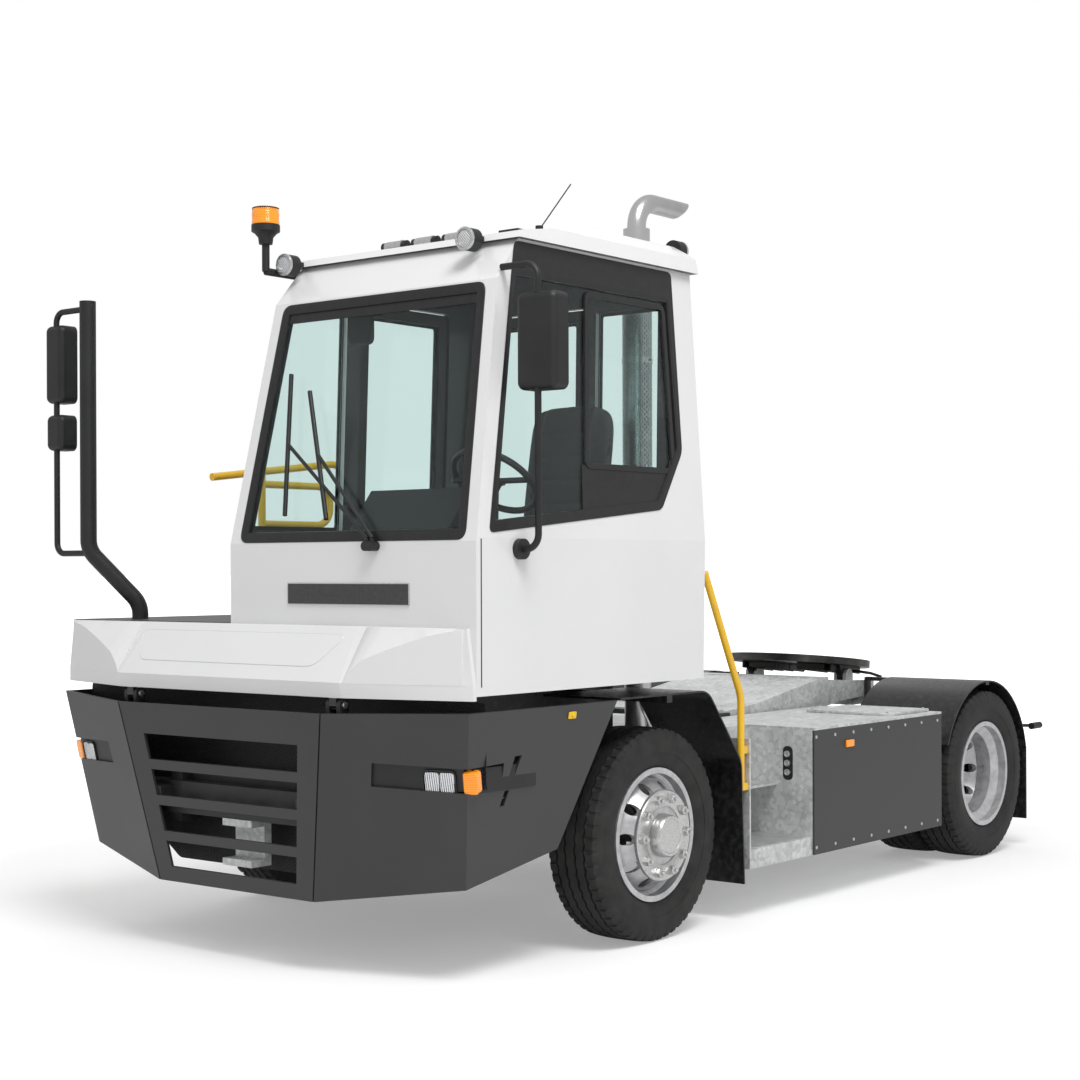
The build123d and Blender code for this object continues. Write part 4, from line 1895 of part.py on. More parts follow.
# The fifth wheel lies tilted back on its trunnions, as it parks.
pivot = (coupling_x, 0, COUPLING_PIVOT_HEIGHT)
tilt = radians(COUPLING_REST_TILT)
plate_plane = Plane(origin=pivot, x_dir=(cos(tilt), 0, sin(tilt)), z_dir=(-sin(tilt), 0, cos(tilt)))
with BuildPart() as fifth_wheel:
    with BuildSketch(plate_plane.offset(COUPLING_RISE)) as plate:
        Circle(COUPLING_RADIUS)
        with BuildLine():
            Polyline(
                (LOCK_RADIUS / 2, THROAT_WIDTH / 2),
                (-LOCK_RADIUS, THROAT_WIDTH / 2),
                (-COUPLING_RADIUS - OVERRUN, THROAT_MOUTH / 2),
                (-COUPLING_RADIUS - OVERRUN, -THROAT_MOUTH / 2),
                (-LOCK_RADIUS, -THROAT_WIDTH / 2),
                (LOCK_RADIUS / 2, -THROAT_WIDTH / 2),
                close=True,
            )
        make_face(mode=Mode.SUBTRACT)
    extrude(plate.sketch, amount=COUPLING_PLATE)
    with BuildSketch(plate_plane.offset(COUPLING_RISE)) as lock:
        Circle(LOCK_RADIUS)
        Circle(KINGPIN_BORE / 2, mode=Mode.SUBTRACT)
    extrude(lock.sketch, amount=LOCK_DEPTH - FIT_GAP)
    for side in (1, -1):
        trunnion_y = (side * TRUNNION_Y - TRUNNION_WIDTH / 2, side * TRUNNION_Y + TRUNNION_WIDTH / 2)
        bar((coupling_x, trunnion_y[0], pivot[2]), (coupling_x, trunnion_y[1], pivot[2]), TRUNNION_EYE)
        foot = [
            plate_plane.from_local_coords(Vector(x, 0, z))
            for x, z in (
                (-TRUNNION_EYE / 2, 0),
                (TRUNNION_EYE / 2, 0),
                (TRUNNION_EYE, COUPLING_RISE + FIT_GAP),
                (-TRUNNION_EYE, COUPLING_RISE + FIT_GAP),
            )
        ]
        side_slab([(p.X, p.Z) for p in foot], trunnion_y[0], trunnion_y[1])
        bar(
            (coupling_x, trunnion_y[0] - OVERRUN, pivot[2]),
            (coupling_x, trunnion_y[1] + OVERRUN, pivot[2]),
            TRUNNION_PIN + 2 * PIN_CLEARANCE,
            Mode.SUBTRACT,
        )
finish_part(fifth_wheel, "fifth_wheel")

# Front mudguards: one bent sheet over each front wheel, down to near the ground.
GUARD_WALL = 8.0
GUARD_TOP = 1116.0
GUARD_FRONT_AHEAD = 350.0
GUARD_REAR_TOP_BEHIND = 330.0
GUARD_REAR_BEHIND = 612.0
GUARD_KNEE = 760.0
GUARD_FOOT_BEHIND = 636.0
GUARD_BOTTOM = 180.0
GUARD_BEND = 120.0
GUARD_INNER_Y = 825.0
GUARD_OUTER_Y = half_width - 5.0 * FIT_GAP
GUARD_STAY = 40.0

front_guard = [
    (front_axle_x + GUARD_FRONT_AHEAD, GUARD_TOP - GUARD_WALL),
    (front_axle_x - GUARD_REAR_TOP_BEHIND, GUARD_TOP - GUARD_WALL),
    (front_axle_x - GUARD_REAR_BEHIND, GUARD_KNEE),
    (front_axle_x - GUARD_FOOT_BEHIND, GUARD_BOTTOM),
]
with BuildPart() as front_mudguards:
    bent_sheet(front_guard, -GUARD_WALL, GUARD_BEND, GUARD_INNER_Y, GUARD_OUTER_Y)
    block(
        (front_axle_x - GUARD_STAY, RAIL_SPREAD - GUARD_STAY / 2, front_guard[0][1] - GUARD_STAY),
        (front_axle_x, GUARD_OUTER_Y, front_guard[0][1]),
    )
    block(
        (front_axle_x - GUARD_STAY, RAIL_SPREAD - GUARD_STAY / 2, rail_top + FIT_GAP),
        (front_axle_x, RAIL_SPREAD + GUARD_STAY / 2, front_guard[0][1]),
    )
    mirror(about=Plane.XZ)
finish_part(front_mudguards, "front_mudguards")

# Rear mudguards: an arch over the twins and a flap behind them.
ARCH_RADIUS = 528.0
ARCH_WALL = 8.0
ARCH_START = 22.0
ARCH_END = 168.0
ARCH_INNER_Y = 625.0
FLAP_BOTTOM = 165.0
FLAP_WALL = 10.0
ARCH_STAY = 22.0
ARCH_STAY_GAP = 8.0


def arch(center_x, radius, wall, start, end, y_low, y_high):
    """A round arch over a wheel, its angles measured from ahead, upwards."""
    with BuildSketch(side_plane(y_high)) as profile:
        with BuildLine():
            outer = CenterArc((center_x, TYRE_RADIUS), radius + wall, start, end - start)
            inner = CenterArc((center_x, TYRE_RADIUS), radius, start, end - start)
            Line(outer @ 0, inner @ 0)
            Line(outer @ 1, inner @ 1)
        make_face()
    extrude(profile.sketch, amount=y_high - y_low)


flap_x = rear_axle_x - ARCH_RADIUS * cos(radians(180 - ARCH_END))
flap_top = TYRE_RADIUS + ARCH_RADIUS * sin(radians(180 - ARCH_END))
with BuildPart() as rear_mudguards:
    arch(rear_axle_x, ARCH_RADIUS, ARCH_WALL, ARCH_START, ARCH_END, ARCH_INNER_Y, GUARD_OUTER_Y)
    block(
        (flap_x - FLAP_WALL, ARCH_INNER_Y, FLAP_BOTTOM),
        (flap_x, GUARD_OUTER_Y, flap_top + ARCH_WALL),
    )
    stay_top = TYRE_RADIUS + ARCH_RADIUS + ARCH_WALL / 2
    stay_in = boom_outer + ARCH_STAY_GAP
    block(
        (rear_axle_x - GUARD_STAY / 2, stay_in, stay_top - ARCH_STAY),
        (rear_axle_x + GUARD_STAY / 2, GUARD_OUTER_Y, stay_top),
    )
    block(
        (rear_axle_x - GUARD_STAY / 2, stay_in, RAIL_BOTTOM + GUARD_STAY),
        (rear_axle_x + GUARD_STAY / 2, stay_in + ARCH_STAY, stay_top),
    )
    block(
        (rear_axle_x - GUARD_STAY / 2, rail_outer + FIT_GAP, RAIL_BOTTOM + GUARD_STAY),
        (rear_axle_x + GUARD_STAY / 2, stay_in + ARCH_STAY, rail_top),
    )
    mirror(about=Plane.XZ)
finish_part(rear_mudguards, "rear_mudguards")

# Boxes between the axles: a step well and a battery box left, a fuel tank right.
DECK_HEIGHT = 870.0
DECK_PLATE = 12.0
DECK_INNER_Y = 482.0
SIDE_BOX_FRONT_BEHIND = 1270.0
SIDE_BOX_REAR_AHEAD = 580.0
SIDE_BOX_BOTTOM = 240.0
SIDE_BOX_INNER_Y = 700.0
SIDE_PANEL_WALL = 10.0
STEP_WELL_FRONT_BEHIND = 690.0
STEP_WELL_Y = 850.0
STEP_HEIGHT = 330.0
STEP_MID_HEIGHT = 590.0
STEP_MID_Y = 1040.0
STEP_WALL = 12.0

box_front = front_axle_x - SIDE_BOX_FRONT_BEHIND
box_rear = rear_axle_x + SIDE_BOX_REAR_AHEAD
well_front = front_axle_x - STEP_WELL_FRONT_BEHIND
deck_low = DECK_HEIGHT - DECK_PLATE
panel_in = half_width - SIDE_PANEL_WALL
with BuildPart() as side_boxes:
    for side in (1, -1):
        box_y = sorted((side * SIDE_BOX_INNER_Y, side * (panel_in - FIT_GAP)))
        block((box_rear, box_y[0], SIDE_BOX_BOTTOM), (box_front, box_y[1], deck_low - FIT_GAP))
        arm_y = sorted((side * (rail_outer + FIT_GAP), side * SIDE_BOX_INNER_Y))
        for x in (box_rear + OVERRUN, box_front - 2 * OVERRUN):
            block((x, arm_y[0], RAIL_BOTTOM), (x + OVERRUN, arm_y[1], RAIL_BOTTOM + OVERRUN))
finish_part(side_boxes, "side_boxes")

with BuildPart() as side_panels:
    block((box_rear, panel_in, SIDE_BOX_BOTTOM), (box_front, half_width, deck_low - FIT_GAP))
    mirror(about=Plane.XZ)
finish_part(side_panels, "side_panels")

with BuildPart() as step_wells:
    low_y = panel_in - FIT_GAP
    high_z = deck_low - FIT_GAP
    start_x = box_front + FIT_GAP
    block((start_x, STEP_WELL_Y, SIDE_BOX_BOTTOM), (well_front, low_y, SIDE_BOX_BOTTOM + STEP_WALL))
    block((start_x, STEP_WELL_Y, STEP_HEIGHT - STEP_WALL), (well_front, low_y, STEP_HEIGHT))
    block((start_x, low_y - STEP_WALL, SIDE_BOX_BOTTOM), (well_front, low_y, STEP_HEIGHT))
    block((start_x, STEP_WELL_Y, SIDE_BOX_BOTTOM), (well_front, STEP_WELL_Y + STEP_WALL, high_z))
    block((start_x, STEP_WELL_Y, STEP_MID_HEIGHT - STEP_WALL), (well_front, STEP_MID_Y, STEP_MID_HEIGHT))
    block((well_front - STEP_WALL, STEP_WELL_Y, SIDE_BOX_BOTTOM), (well_front, low_y, high_z))
    block((start_x, STEP_WELL_Y, SIDE_BOX_BOTTOM), (start_x + STEP_WALL, low_y, high_z))
    for x in (box_front + OVERRUN, well_front - 2 * OVERRUN):
        block((x, rail_outer + FIT_GAP, RAIL_BOTTOM), (x + OVERRUN, STEP_WELL_Y, RAIL_BOTTOM + OVERRUN))
    mirror(about=Plane.XZ)
finish_part(step_wells, "step_wells")

with BuildPart() as deck_plates:
    block((box_rear, DECK_INNER_Y, deck_low), (box_front, half_width, DECK_HEIGHT))
    block((box_front, DECK_INNER_Y, deck_low), (well_front, STEP_WELL_Y + STEP_WALL, DECK_HEIGHT))
    mirror(about=Plane.XZ)
    catwalk_rear = boom_hinge_x + BOOM_EYE + OVERRUN
    block((catwalk_rear, -DECK_INNER_Y, deck_low), (well_front, DECK_INNER_Y, DECK_HEIGHT))
    for side in (1, -1):
        foot_y = sorted((side * rail_inner, side * rail_outer))
        block((catwalk_rear, foot_y[0], rail_top + FIT_GAP), (well_front, foot_y[1], deck_low))
finish_part(deck_plates, "deck_plates")

# Exhaust stack with its perforated shield and the slash-cut tail pipe.
STACK_BEHIND = 470.0
STACK_Y = 750.0
STACK_DIAMETER = 128.0
STACK_TOP = 3290.0
TAIL_PIPE = 90.0
TAIL_BEND = 130.0
TAIL_HEIGHT = 3430.0
TAIL_BEHIND = 880.0
TAIL_SLASH = 95.0
TAIL_BORE = 80.0
STACK_FOOT = 160.0
STACK_BOTTOM = 798.0
STACK_ARM = 50.0

stack_x = front_axle_x - STACK_BEHIND
tail_x = front_axle_x - TAIL_BEHIND
with BuildPart() as exhaust_stack:
    bar((stack_x, STACK_Y, STACK_BOTTOM), (stack_x, STACK_Y, STACK_TOP), STACK_DIAMETER)
    tube(
        [
            (stack_x, STACK_Y, STACK_TOP - STACK_DIAMETER),
            (stack_x, STACK_Y, TAIL_HEIGHT),
            (tail_x, STACK_Y, TAIL_HEIGHT),
        ],
        TAIL_PIPE,
        TAIL_BEND,
    )
    bar(
        (tail_x - OVERRUN, STACK_Y, TAIL_HEIGHT),
        (tail_x + TAIL_SLASH + TAIL_PIPE, STACK_Y, TAIL_HEIGHT),
        TAIL_BORE,
        Mode.SUBTRACT,
    )
    side_slab(
        [
            (tail_x, TAIL_HEIGHT + TAIL_PIPE / 2),
            (tail_x - OVERRUN, TAIL_HEIGHT - TAIL_PIPE),
            (tail_x + TAIL_SLASH * 3 / 2, TAIL_HEIGHT - TAIL_PIPE),
        ],
        STACK_Y - TAIL_PIPE,
        STACK_Y + TAIL_PIPE,
        Mode.SUBTRACT,
    )
    block(
        (stack_x - STACK_FOOT, RAIL_SPREAD - STACK_ARM / 2, rail_top + FIT_GAP),
        (stack_x, RAIL_SPREAD + STACK_ARM / 2, STACK_BOTTOM + STACK_ARM),
    )
    block(
        (stack_x - STACK_FOOT, RAIL_SPREAD - STACK_ARM / 2, STACK_BOTTOM),
        (stack_x, STACK_Y, STACK_BOTTOM + STACK_ARM),
    )
finish_part(exhaust_stack, "exhaust_stack")

# Yellow hand rail at the step well.
HANDRAIL_Y = 1215.0
HANDRAIL_TOP_BEHIND = 352.0
HANDRAIL_TOP = 1645.0
HANDRAIL_KNEE_BEHIND = 655.0
HANDRAIL_KNEE = 1060.0
HANDRAIL_FOOT = 617.0
HANDRAIL_BEND = 160.0
HANDRAIL_TUBE = 34.0

with BuildPart() as left_handrail:
    tube(
        [
            (front_axle_x - HANDRAIL_TOP_BEHIND, HANDRAIL_Y, HANDRAIL_TOP),
            (front_axle_x - HANDRAIL_KNEE_BEHIND, HANDRAIL_Y, HANDRAIL_KNEE),
            (front_axle_x - HANDRAIL_KNEE_BEHIND, HANDRAIL_Y, HANDRAIL_FOOT),
        ],
        HANDRAIL_TUBE,
        HANDRAIL_BEND,
    )
    for height in (HANDRAIL_FOOT, deck_low - 2 * HANDRAIL_TUBE):
        block(
            (well_front + FIT_GAP, HANDRAIL_Y - HANDRAIL_TUBE / 2, height),
            (front_axle_x - HANDRAIL_KNEE_BEHIND, HANDRAIL_Y + HANDRAIL_TUBE / 2, height + HANDRAIL_TUBE),
        )
finish_part(left_handrail, "left_handrail")

# Front coupling jaw, lamps, and the rear lamp brackets with marker arms.
TOW_BORE = 46.0
TOW_BORE_SETBACK = 170.0
TOW_LOW = 400.0
TOW_HIGH = 600.0
TOW_PLATE = 30.0
TOW_HALF = 90.0
TOW_JAW = 45.0

tow_x = front_x - TOW_BORE_SETBACK
with BuildPart() as tow_coupling:
    block((tow_x - FRONT_BEAM_DEPTH, -TOW_HALF, TOW_LOW), (tow_x - TOW_PLATE, TOW_HALF, TOW_HIGH - FIT_GAP))
    for low in (TOW_LOW, TOW_HIGH - TOW_PLATE - FIT_GAP):
        block((tow_x - FRONT_BEAM_DEPTH, -TOW_HALF, low), (tow_x + TOW_JAW, TOW_HALF, low + TOW_PLATE))
    bar((tow_x, 0, TOW_LOW - TOW_PLATE), (tow_x, 0, TOW_HIGH + TOW_PLATE), TOW_BORE, Mode.SUBTRACT)
finish_part(tow_coupling, "tow_coupling")

LAMP_WIDTH = 150.0
LAMP_TALL = 84.0
LAMP_UNIT_DEPTH = 70.0
lamp_along_share = 0.74
housing_start_share = 0.30
housing_end_share = 0.965
HOUSING_WALL = 10.0
HOUSING_MARGIN = 18.0
indicator_along_share = 0.93
INDICATOR_WIDTH = 62.0

corner_along = Vector(*corner_low_outer) - Vector(*corner_low_inner)
corner_normal = corner_along.cross(Vector(*corner_top_inner) - Vector(*corner_low_inner)).normalized()
lamp_height_share = (edge_low_share + edge_high_share) / 2
with BuildPart() as head_lamps:
    low_up = facet_up_share(corner_facet, LAMP_RECESS_LOW - HOUSING_MARGIN)
    high_up = facet_up_share(corner_facet, LAMP_RECESS_HIGH + HOUSING_MARGIN)
    behind = corner_normal * (BUMPER_WALL + FIT_GAP)
    housing = [
        facet_point(corner_facet, housing_start_share, low_up) - behind,
        facet_point(corner_facet, housing_end_share, low_up) - behind,
        facet_point(corner_facet, housing_end_share, high_up) - behind,
        facet_point(corner_facet, housing_start_share, high_up) - behind,
    ]
    facet([tuple(p) for p in housing], HOUSING_WALL)
    for share, width in ((lamp_along_share, LAMP_WIDTH), (indicator_along_share, INDICATOR_WIDTH)):
        center = facet_point(corner_facet, share, lamp_height_share) - corner_normal * BUMPER_WALL
        lamp_plane = Plane(origin=center, x_dir=corner_along, z_dir=corner_normal)
        with BuildSketch(lamp_plane) as lamp:
            RectangleRounded(width, LAMP_TALL, LAMP_TALL / 5)
        extrude(lamp.sketch, amount=-LAMP_UNIT_DEPTH)
    mirror(about=Plane.XZ)
finish_part(head_lamps, "head_lamps")

TAIL_BRACKET_Y = 900.0
TAIL_BRACKET_WIDTH = 300.0
TAIL_LAMP_LOW = 560.0
TAIL_LAMP_HEIGHT = 130.0
TAIL_LAMP_DEPTH = 60.0
TAIL_BAR = 60.0
MARKER_Y = 1200.0
MARKER_HEIGHT = 702.0
MARKER_DIAMETER = 40.0
MARKER_LENGTH = 120.0

with BuildPart() as tail_lamps:
    bar_x = rail_rear - FIT_GAP - TAIL_BAR
    bar_z = TAIL_LAMP_LOW + TAIL_LAMP_HEIGHT
    bracket_half = TAIL_BRACKET_WIDTH / 2
    block(
        (bar_x, -TAIL_BRACKET_Y - bracket_half, bar_z),
        (bar_x + TAIL_BAR, TAIL_BRACKET_Y + bracket_half, bar_z + TAIL_BAR),
    )
    for side in (1, -1):
        block(
            (bar_x, side * TAIL_BRACKET_Y - bracket_half, TAIL_LAMP_LOW),
            (bar_x + TAIL_LAMP_DEPTH, side * TAIL_BRACKET_Y + bracket_half, bar_z),
        )
        bar(
            (bar_x + TAIL_BAR / 2, side * TAIL_BRACKET_Y, MARKER_HEIGHT),
            (rear_x + MARKER_LENGTH / 2, side * MARKER_Y, MARKER_HEIGHT),
            MARKER_DIAMETER / 2,
        )
        bar(
            (rear_x, side * MARKER_Y, MARKER_HEIGHT),
            (rear_x + MARKER_LENGTH, side * MARKER_Y, MARKER_HEIGHT),
            MARKER_DIAMETER,
        )
finish_part(tail_lamps, "tail_lamps")

# Wipers: two arms with blades, clear of the windscreen by a little.
WIPER_ARM = 16.0
WIPER_BLADE = 20.0
wiper_shares = (
    # pivot y, blade foot y, blade foot z, blade tip y, blade tip z
    (0.62, 0.42, 0.08, 0.26, 0.62),
    (0.60, 0.24, 0.10, 0.16, 0.70),
)
WIPER_STAND_OFF = 26.0


def on_screen(across, up, stand_off):
    """A point in front of the windscreen, by shares of its width and height."""
    height = windscreen_low + (WINDSCREEN_HEAD - windscreen_low) * up
    right_y = cab_y_at(height, False)
    left_y = cab_y_at(height, True)
    return (windscreen_x_at(height) + stand_off, right_y + (left_y - right_y) * across, height)


with BuildPart() as wipers:
    for pivot_share, foot_share, foot_up, tip_share, tip_up in wiper_shares:
        foot = on_screen(foot_share, foot_up, WIPER_STAND_OFF)
        tip = on_screen(tip_share, tip_up, WIPER_STAND_OFF)
        bar(foot, tip, WIPER_BLADE)
        base = on_screen(pivot_share, 0, WIPER_STAND_OFF)
        middle = [(a + b) / 2 for a, b in zip(foot, tip)]
        bar(base, tuple(middle), WIPER_ARM)
        spindle_z = base[2] - GLASS_SEAT * 2
        spindle_end_x = cab_front + WIPER_STAND_OFF + WIPER_ARM
        bar((cab_front + FIT_GAP, base[1], spindle_z), (spindle_end_x, base[1], spindle_z), 2 * WIPER_BLADE)
        bar((base[0], base[1], spindle_z), base, WIPER_ARM)
finish_part(wipers, "wipers")
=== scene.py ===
import math

import bmesh
import bpy
import numpy as np
from mathutils import Matrix, Vector


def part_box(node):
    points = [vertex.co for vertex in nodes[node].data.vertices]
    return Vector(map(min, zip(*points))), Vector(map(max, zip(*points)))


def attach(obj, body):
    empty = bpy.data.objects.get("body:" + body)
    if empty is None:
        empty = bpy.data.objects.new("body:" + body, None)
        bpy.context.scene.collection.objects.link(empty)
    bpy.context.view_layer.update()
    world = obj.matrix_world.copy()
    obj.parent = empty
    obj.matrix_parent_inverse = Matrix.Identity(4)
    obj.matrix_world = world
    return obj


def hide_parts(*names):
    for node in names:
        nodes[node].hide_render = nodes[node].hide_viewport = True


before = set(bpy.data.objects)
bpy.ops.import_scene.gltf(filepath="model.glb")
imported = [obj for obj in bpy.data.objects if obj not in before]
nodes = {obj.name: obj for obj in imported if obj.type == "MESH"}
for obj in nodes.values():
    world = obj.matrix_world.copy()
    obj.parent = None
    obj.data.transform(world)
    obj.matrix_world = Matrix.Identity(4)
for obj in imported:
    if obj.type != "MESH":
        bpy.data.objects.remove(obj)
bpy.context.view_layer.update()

# The studio: a white floor that keeps a soft shadow, a white surround, and lamps
# high on both sides. The camera stands at the front left corner at head height.
CAMERA_PLACE = Vector((8.2236, 6.1176, 1.6656))
CAMERA_YAW = math.radians(38.3022)
CAMERA_PITCH = math.radians(-0.2012)
CAMERA_ROLL = math.radians(-0.1803)
CAMERA_LENS = 63.739
CAMERA_SHIFT = (-0.01282, 0.03281)
FLOOR_HALF = 400.0
FLOOR_COLOUR = 0.75
FLOOR_GLOW = ((0.07, 0.30), (0.16, 1.0))
FLOOR_BOUNCE = 0.10
FLOOR_FADE = 0.02
AMBIENT = 0.64


# The camera looks along yaw and pitch, then turns about the line of sight by the roll.
turn = Matrix.Rotation(CAMERA_YAW + math.pi / 2, 4, "Z")
turn @= Matrix.Rotation(CAMERA_PITCH + math.pi / 2, 4, "X")
turn @= Matrix.Rotation(CAMERA_ROLL, 4, "Z")
camera = bpy.data.objects.new("camera", bpy.data.cameras.new("camera"))
bpy.context.scene.collection.objects.link(camera)
camera.matrix_world = Matrix.Translation(CAMERA_PLACE) @ turn
camera.data.sensor_width = 36.0
camera.data.lens = CAMERA_LENS
camera.data.shift_x, camera.data.shift_y = CAMERA_SHIFT
camera.data.clip_end = 2000.0
bpy.context.scene.camera = camera
bpy.context.scene.view_settings.view_transform = "Standard"

world = bpy.data.worlds.new("surround")
bpy.context.scene.world = world
world.use_nodes = True
surround = world.node_tree
background = surround.nodes["Background"]
background.inputs["Color"].default_value = (1.0, 1.0, 1.0, 1.0)
rays = surround.nodes.new("ShaderNodeLightPath")
seen = surround.nodes.new("ShaderNodeMath")
seen.operation = "MAXIMUM"
surround.links.new(rays.outputs["Is Camera Ray"], seen.inputs[0])
surround.links.new(rays.outputs["Is Transmission Ray"], seen.inputs[1])
bright = surround.nodes.new("ShaderNodeMapRange")
surround.links.new(seen.outputs[0], bright.inputs["Value"])
bright.inputs["To Min"].default_value = AMBIENT
bright.inputs["To Max"].default_value = 1.0
surround.links.new(bright.outputs["Result"], background.inputs["Strength"])

for lamp_name, strength, size, place, target in (
    ("key_lamp", 1100.0, 5.0, (5.0, 6.5, 12.0), (1.0, 1.0, 0.0)),
    ("rear_lamp", 40.0, 5.0, (-8.0, -6.0, 7.0), (-0.5, 0.0, 1.0)),
):
    lamp = bpy.data.objects.new(lamp_name, bpy.data.lights.new(lamp_name, "AREA"))
    lamp.data.energy = strength
    lamp.data.size = size
    lamp.location = place
    lamp.rotation_euler = (Vector(target) - Vector(place)).to_track_quat("-Z", "Y").to_euler()
    bpy.context.scene.collection.objects.link(lamp)


class Field:
    """A shader socket that takes part in sums and products as a number does."""

    def __init__(self, finish, socket):
        self.finish = finish
        self.socket = socket

    def maths(self, operation, first, second=0.0):
        return self.finish.node("ShaderNodeMath", {"operation": operation}, {0: first, 1: second})

    def __add__(self, other):
        return self.maths("ADD", self, other)

    def __mul__(self, other):
        return self.maths("MULTIPLY", self, other)

    def __sub__(self, other):
        return self.maths("SUBTRACT", self, other)

    def __rsub__(self, other):
        return self.maths("SUBTRACT", other, self)

    def __gt__(self, other):
        return self.maths("GREATER_THAN", self, other)

    def __lt__(self, other):
        return self.maths("LESS_THAN", self, other)

    def sine(self):
        return self.maths("SINE", self)

    def clamp(self):
        return self.maths("MINIMUM", self.maths("MAXIMUM", self, 0.0), 1.0)


class Finish:
    """A material built on one Principled shader, with its maths written as expressions."""

    def __init__(self, name, **constants):
        self.material = bpy.data.materials.new(name)
        self.material.use_nodes = True
        self.tree = self.material.node_tree
        self.shader = self.tree.nodes["Principled BSDF"]
        for key, value in constants.items():
            self.shader.inputs[key.replace("_", " ")].default_value = value

    def node(self, kind, settings=(), sockets=(), output=0):
        """Adds a node, its settings first, then the values or links of its sockets."""
        new = self.tree.nodes.new(kind)
        settings = dict(settings)
        for place, (position, shade) in enumerate(settings.pop("stops", ())):
            stops = new.color_ramp.elements
            stop = stops[place] if place < 2 else stops.new(position)
            stop.position = position
            stop.color = (*shade, 1.0)
        for key, value in settings.items():
            setattr(new, key, value)
        for key, value in dict(sockets).items():
            if isinstance(value, Field):
                self.tree.links.new(value.socket, new.inputs[key])
            else:
                new.inputs[key].default_value = value
        return Field(self, new.outputs[output])

    def place(self):
        """Object coordinates, in metres in the row frame."""
        return self.node("ShaderNodeTexCoord", output="Object")

    def axes(self):
        """The three coordinates as separate fields."""
        split = self.node("ShaderNodeSeparateXYZ", sockets={0: self.place()}).socket.node
        return [Field(self, split.outputs[axis]) for axis in range(3)]

    def outward(self, centre):
        """Above zero where a face looks away from a centre, (P - C) . N."""
        offset = self.node(
            "ShaderNodeVectorMath", {"operation": "SUBTRACT"}, {0: self.place(), 1: centre}
        )
        normal = self.node("ShaderNodeTexCoord", output="Normal")
        return self.node(
            "ShaderNodeVectorMath", {"operation": "DOT_PRODUCT"}, {0: offset, 1: normal}, output="Value"
        )

    def noise(self, scale, detail=3.0, stretch=(1.0, 1.0, 1.0)):
        """Cloudy noise between 0 and 1, with a scale per metre."""
        spot = self.node("ShaderNodeMapping", sockets={0: self.place(), "Scale": stretch})
        return self.node(
            "ShaderNodeTexNoise", sockets={"Vector": spot, "Scale": scale, "Detail": detail}
        )

    def ramp(self, value, *stops):
        """A colour ramp over a field."""
        return self.node("ShaderNodeValToRGB", {"stops": stops}, {0: value})

    def blend(self, mask, first, second):
        """A colour between two others by a mask."""
        colours = [c if isinstance(c, Field) else (*c, 1.0) for c in (first, second)]
        return self.node(
            "ShaderNodeMix",
            {"data_type": "RGBA"},
            {0: mask, 6: colours[0], 7: colours[1]},
            output=2,
        )

    def feed(self, **fields):
        """Links fields to the shader's own sockets."""
        for key, value in fields.items():
            self.tree.links.new(value.socket, self.shader.inputs[key.replace("_", " ")])

    def tint(self, value, *stops):
        """Colours the surface by a ramp over a field."""
        self.feed(Base_Color=self.ramp(value, *stops))

    def weather(self, field, gain, base, *stops):
        """Colours by a ramp over a field, with a roughness of gain x field + base."""
        self.feed(Base_Color=self.ramp(field, *stops), Roughness=field * gain + base)

    def relief(self, height, distance, strength=1.0):
        """A bump from a height field, its distance in metres."""
        self.feed(
            Normal=self.node(
                "ShaderNodeBump",
                sockets={"Height": height, "Distance": distance, "Strength": strength},
            )
        )


def mottled(name, noise, dark, light, **constants):
    """A finish that runs from dark to light over cloudy noise of (scale, detail)."""
    finish = Finish(name, **constants)
    finish.tint(finish.noise(*noise), (0.3, dark), (0.7, light))
    return finish


def coat(finish, *names):
    """Gives CAD nodes a finish in place of their plain one."""
    for name in names:
        mesh = nodes[name].data
        mesh.materials.clear()
        mesh.materials.append(finish.material)


floor_finish = Finish("floor_white", Roughness=1.0, Specular_IOR_Level=0.0, Emission_Strength=1.0)
floor_finish.shader.inputs["Base Color"].default_value = (FLOOR_COLOUR,) * 3 + (1.0,)
from_middle = floor_finish.node(
    "ShaderNodeVectorMath", {"operation": "LENGTH"}, {0: floor_finish.place()}, output="Value"
)
glow_seen = floor_finish.ramp(
    from_middle * FLOOR_FADE, *((place, (glow,) * 3) for place, glow in FLOOR_GLOW)
)
floor_seen = floor_finish.node("ShaderNodeLightPath", output="Is Camera Ray") + floor_finish.node(
    "ShaderNodeLightPath", output="Is Transmission Ray"
)
floor_finish.feed(
    Emission_Color=floor_finish.blend(floor_seen.clamp(), (FLOOR_BOUNCE,) * 3, glow_seen)
)
floor_mesh = bpy.data.meshes.new("floor")
floor_corners = [(x * FLOOR_HALF, y * FLOOR_HALF, 0.0) for x, y in ((-1, -1), (1, -1), (1, 1), (-1, 1))]
floor_mesh.from_pydata(floor_corners, [], [(0, 1, 2, 3)])
floor = bpy.data.objects.new("floor", floor_mesh)
bpy.context.scene.collection.objects.link(floor)
floor_mesh.materials.append(floor_finish.material)

# Frame rails, axles, springs, steering and lift cylinders: rolled and forged steel
# under black chassis paint, with road dust on it. The lift rods are hard chromed,
# and the engine is cast iron. Hexagon bolts hold the brackets along both rails.
chassis_paint = Finish("chassis_paint", Roughness=0.45)
dust = chassis_paint.noise(9.0, 5.0)
chassis_paint.weather(dust, 0.35, 0.32, (0.35, (0.012, 0.012, 0.013)), (0.75, (0.035, 0.034, 0.032)))
chassis_paint.relief(chassis_paint.noise(260.0), 0.0004, 0.5)
coat(chassis_paint, "chassis_frame", "front_axle", "knuckle_left", "knuckle_right", "tie_rod")
coat(chassis_paint, "leaf_springs", "rear_axle", "lift_barrels")

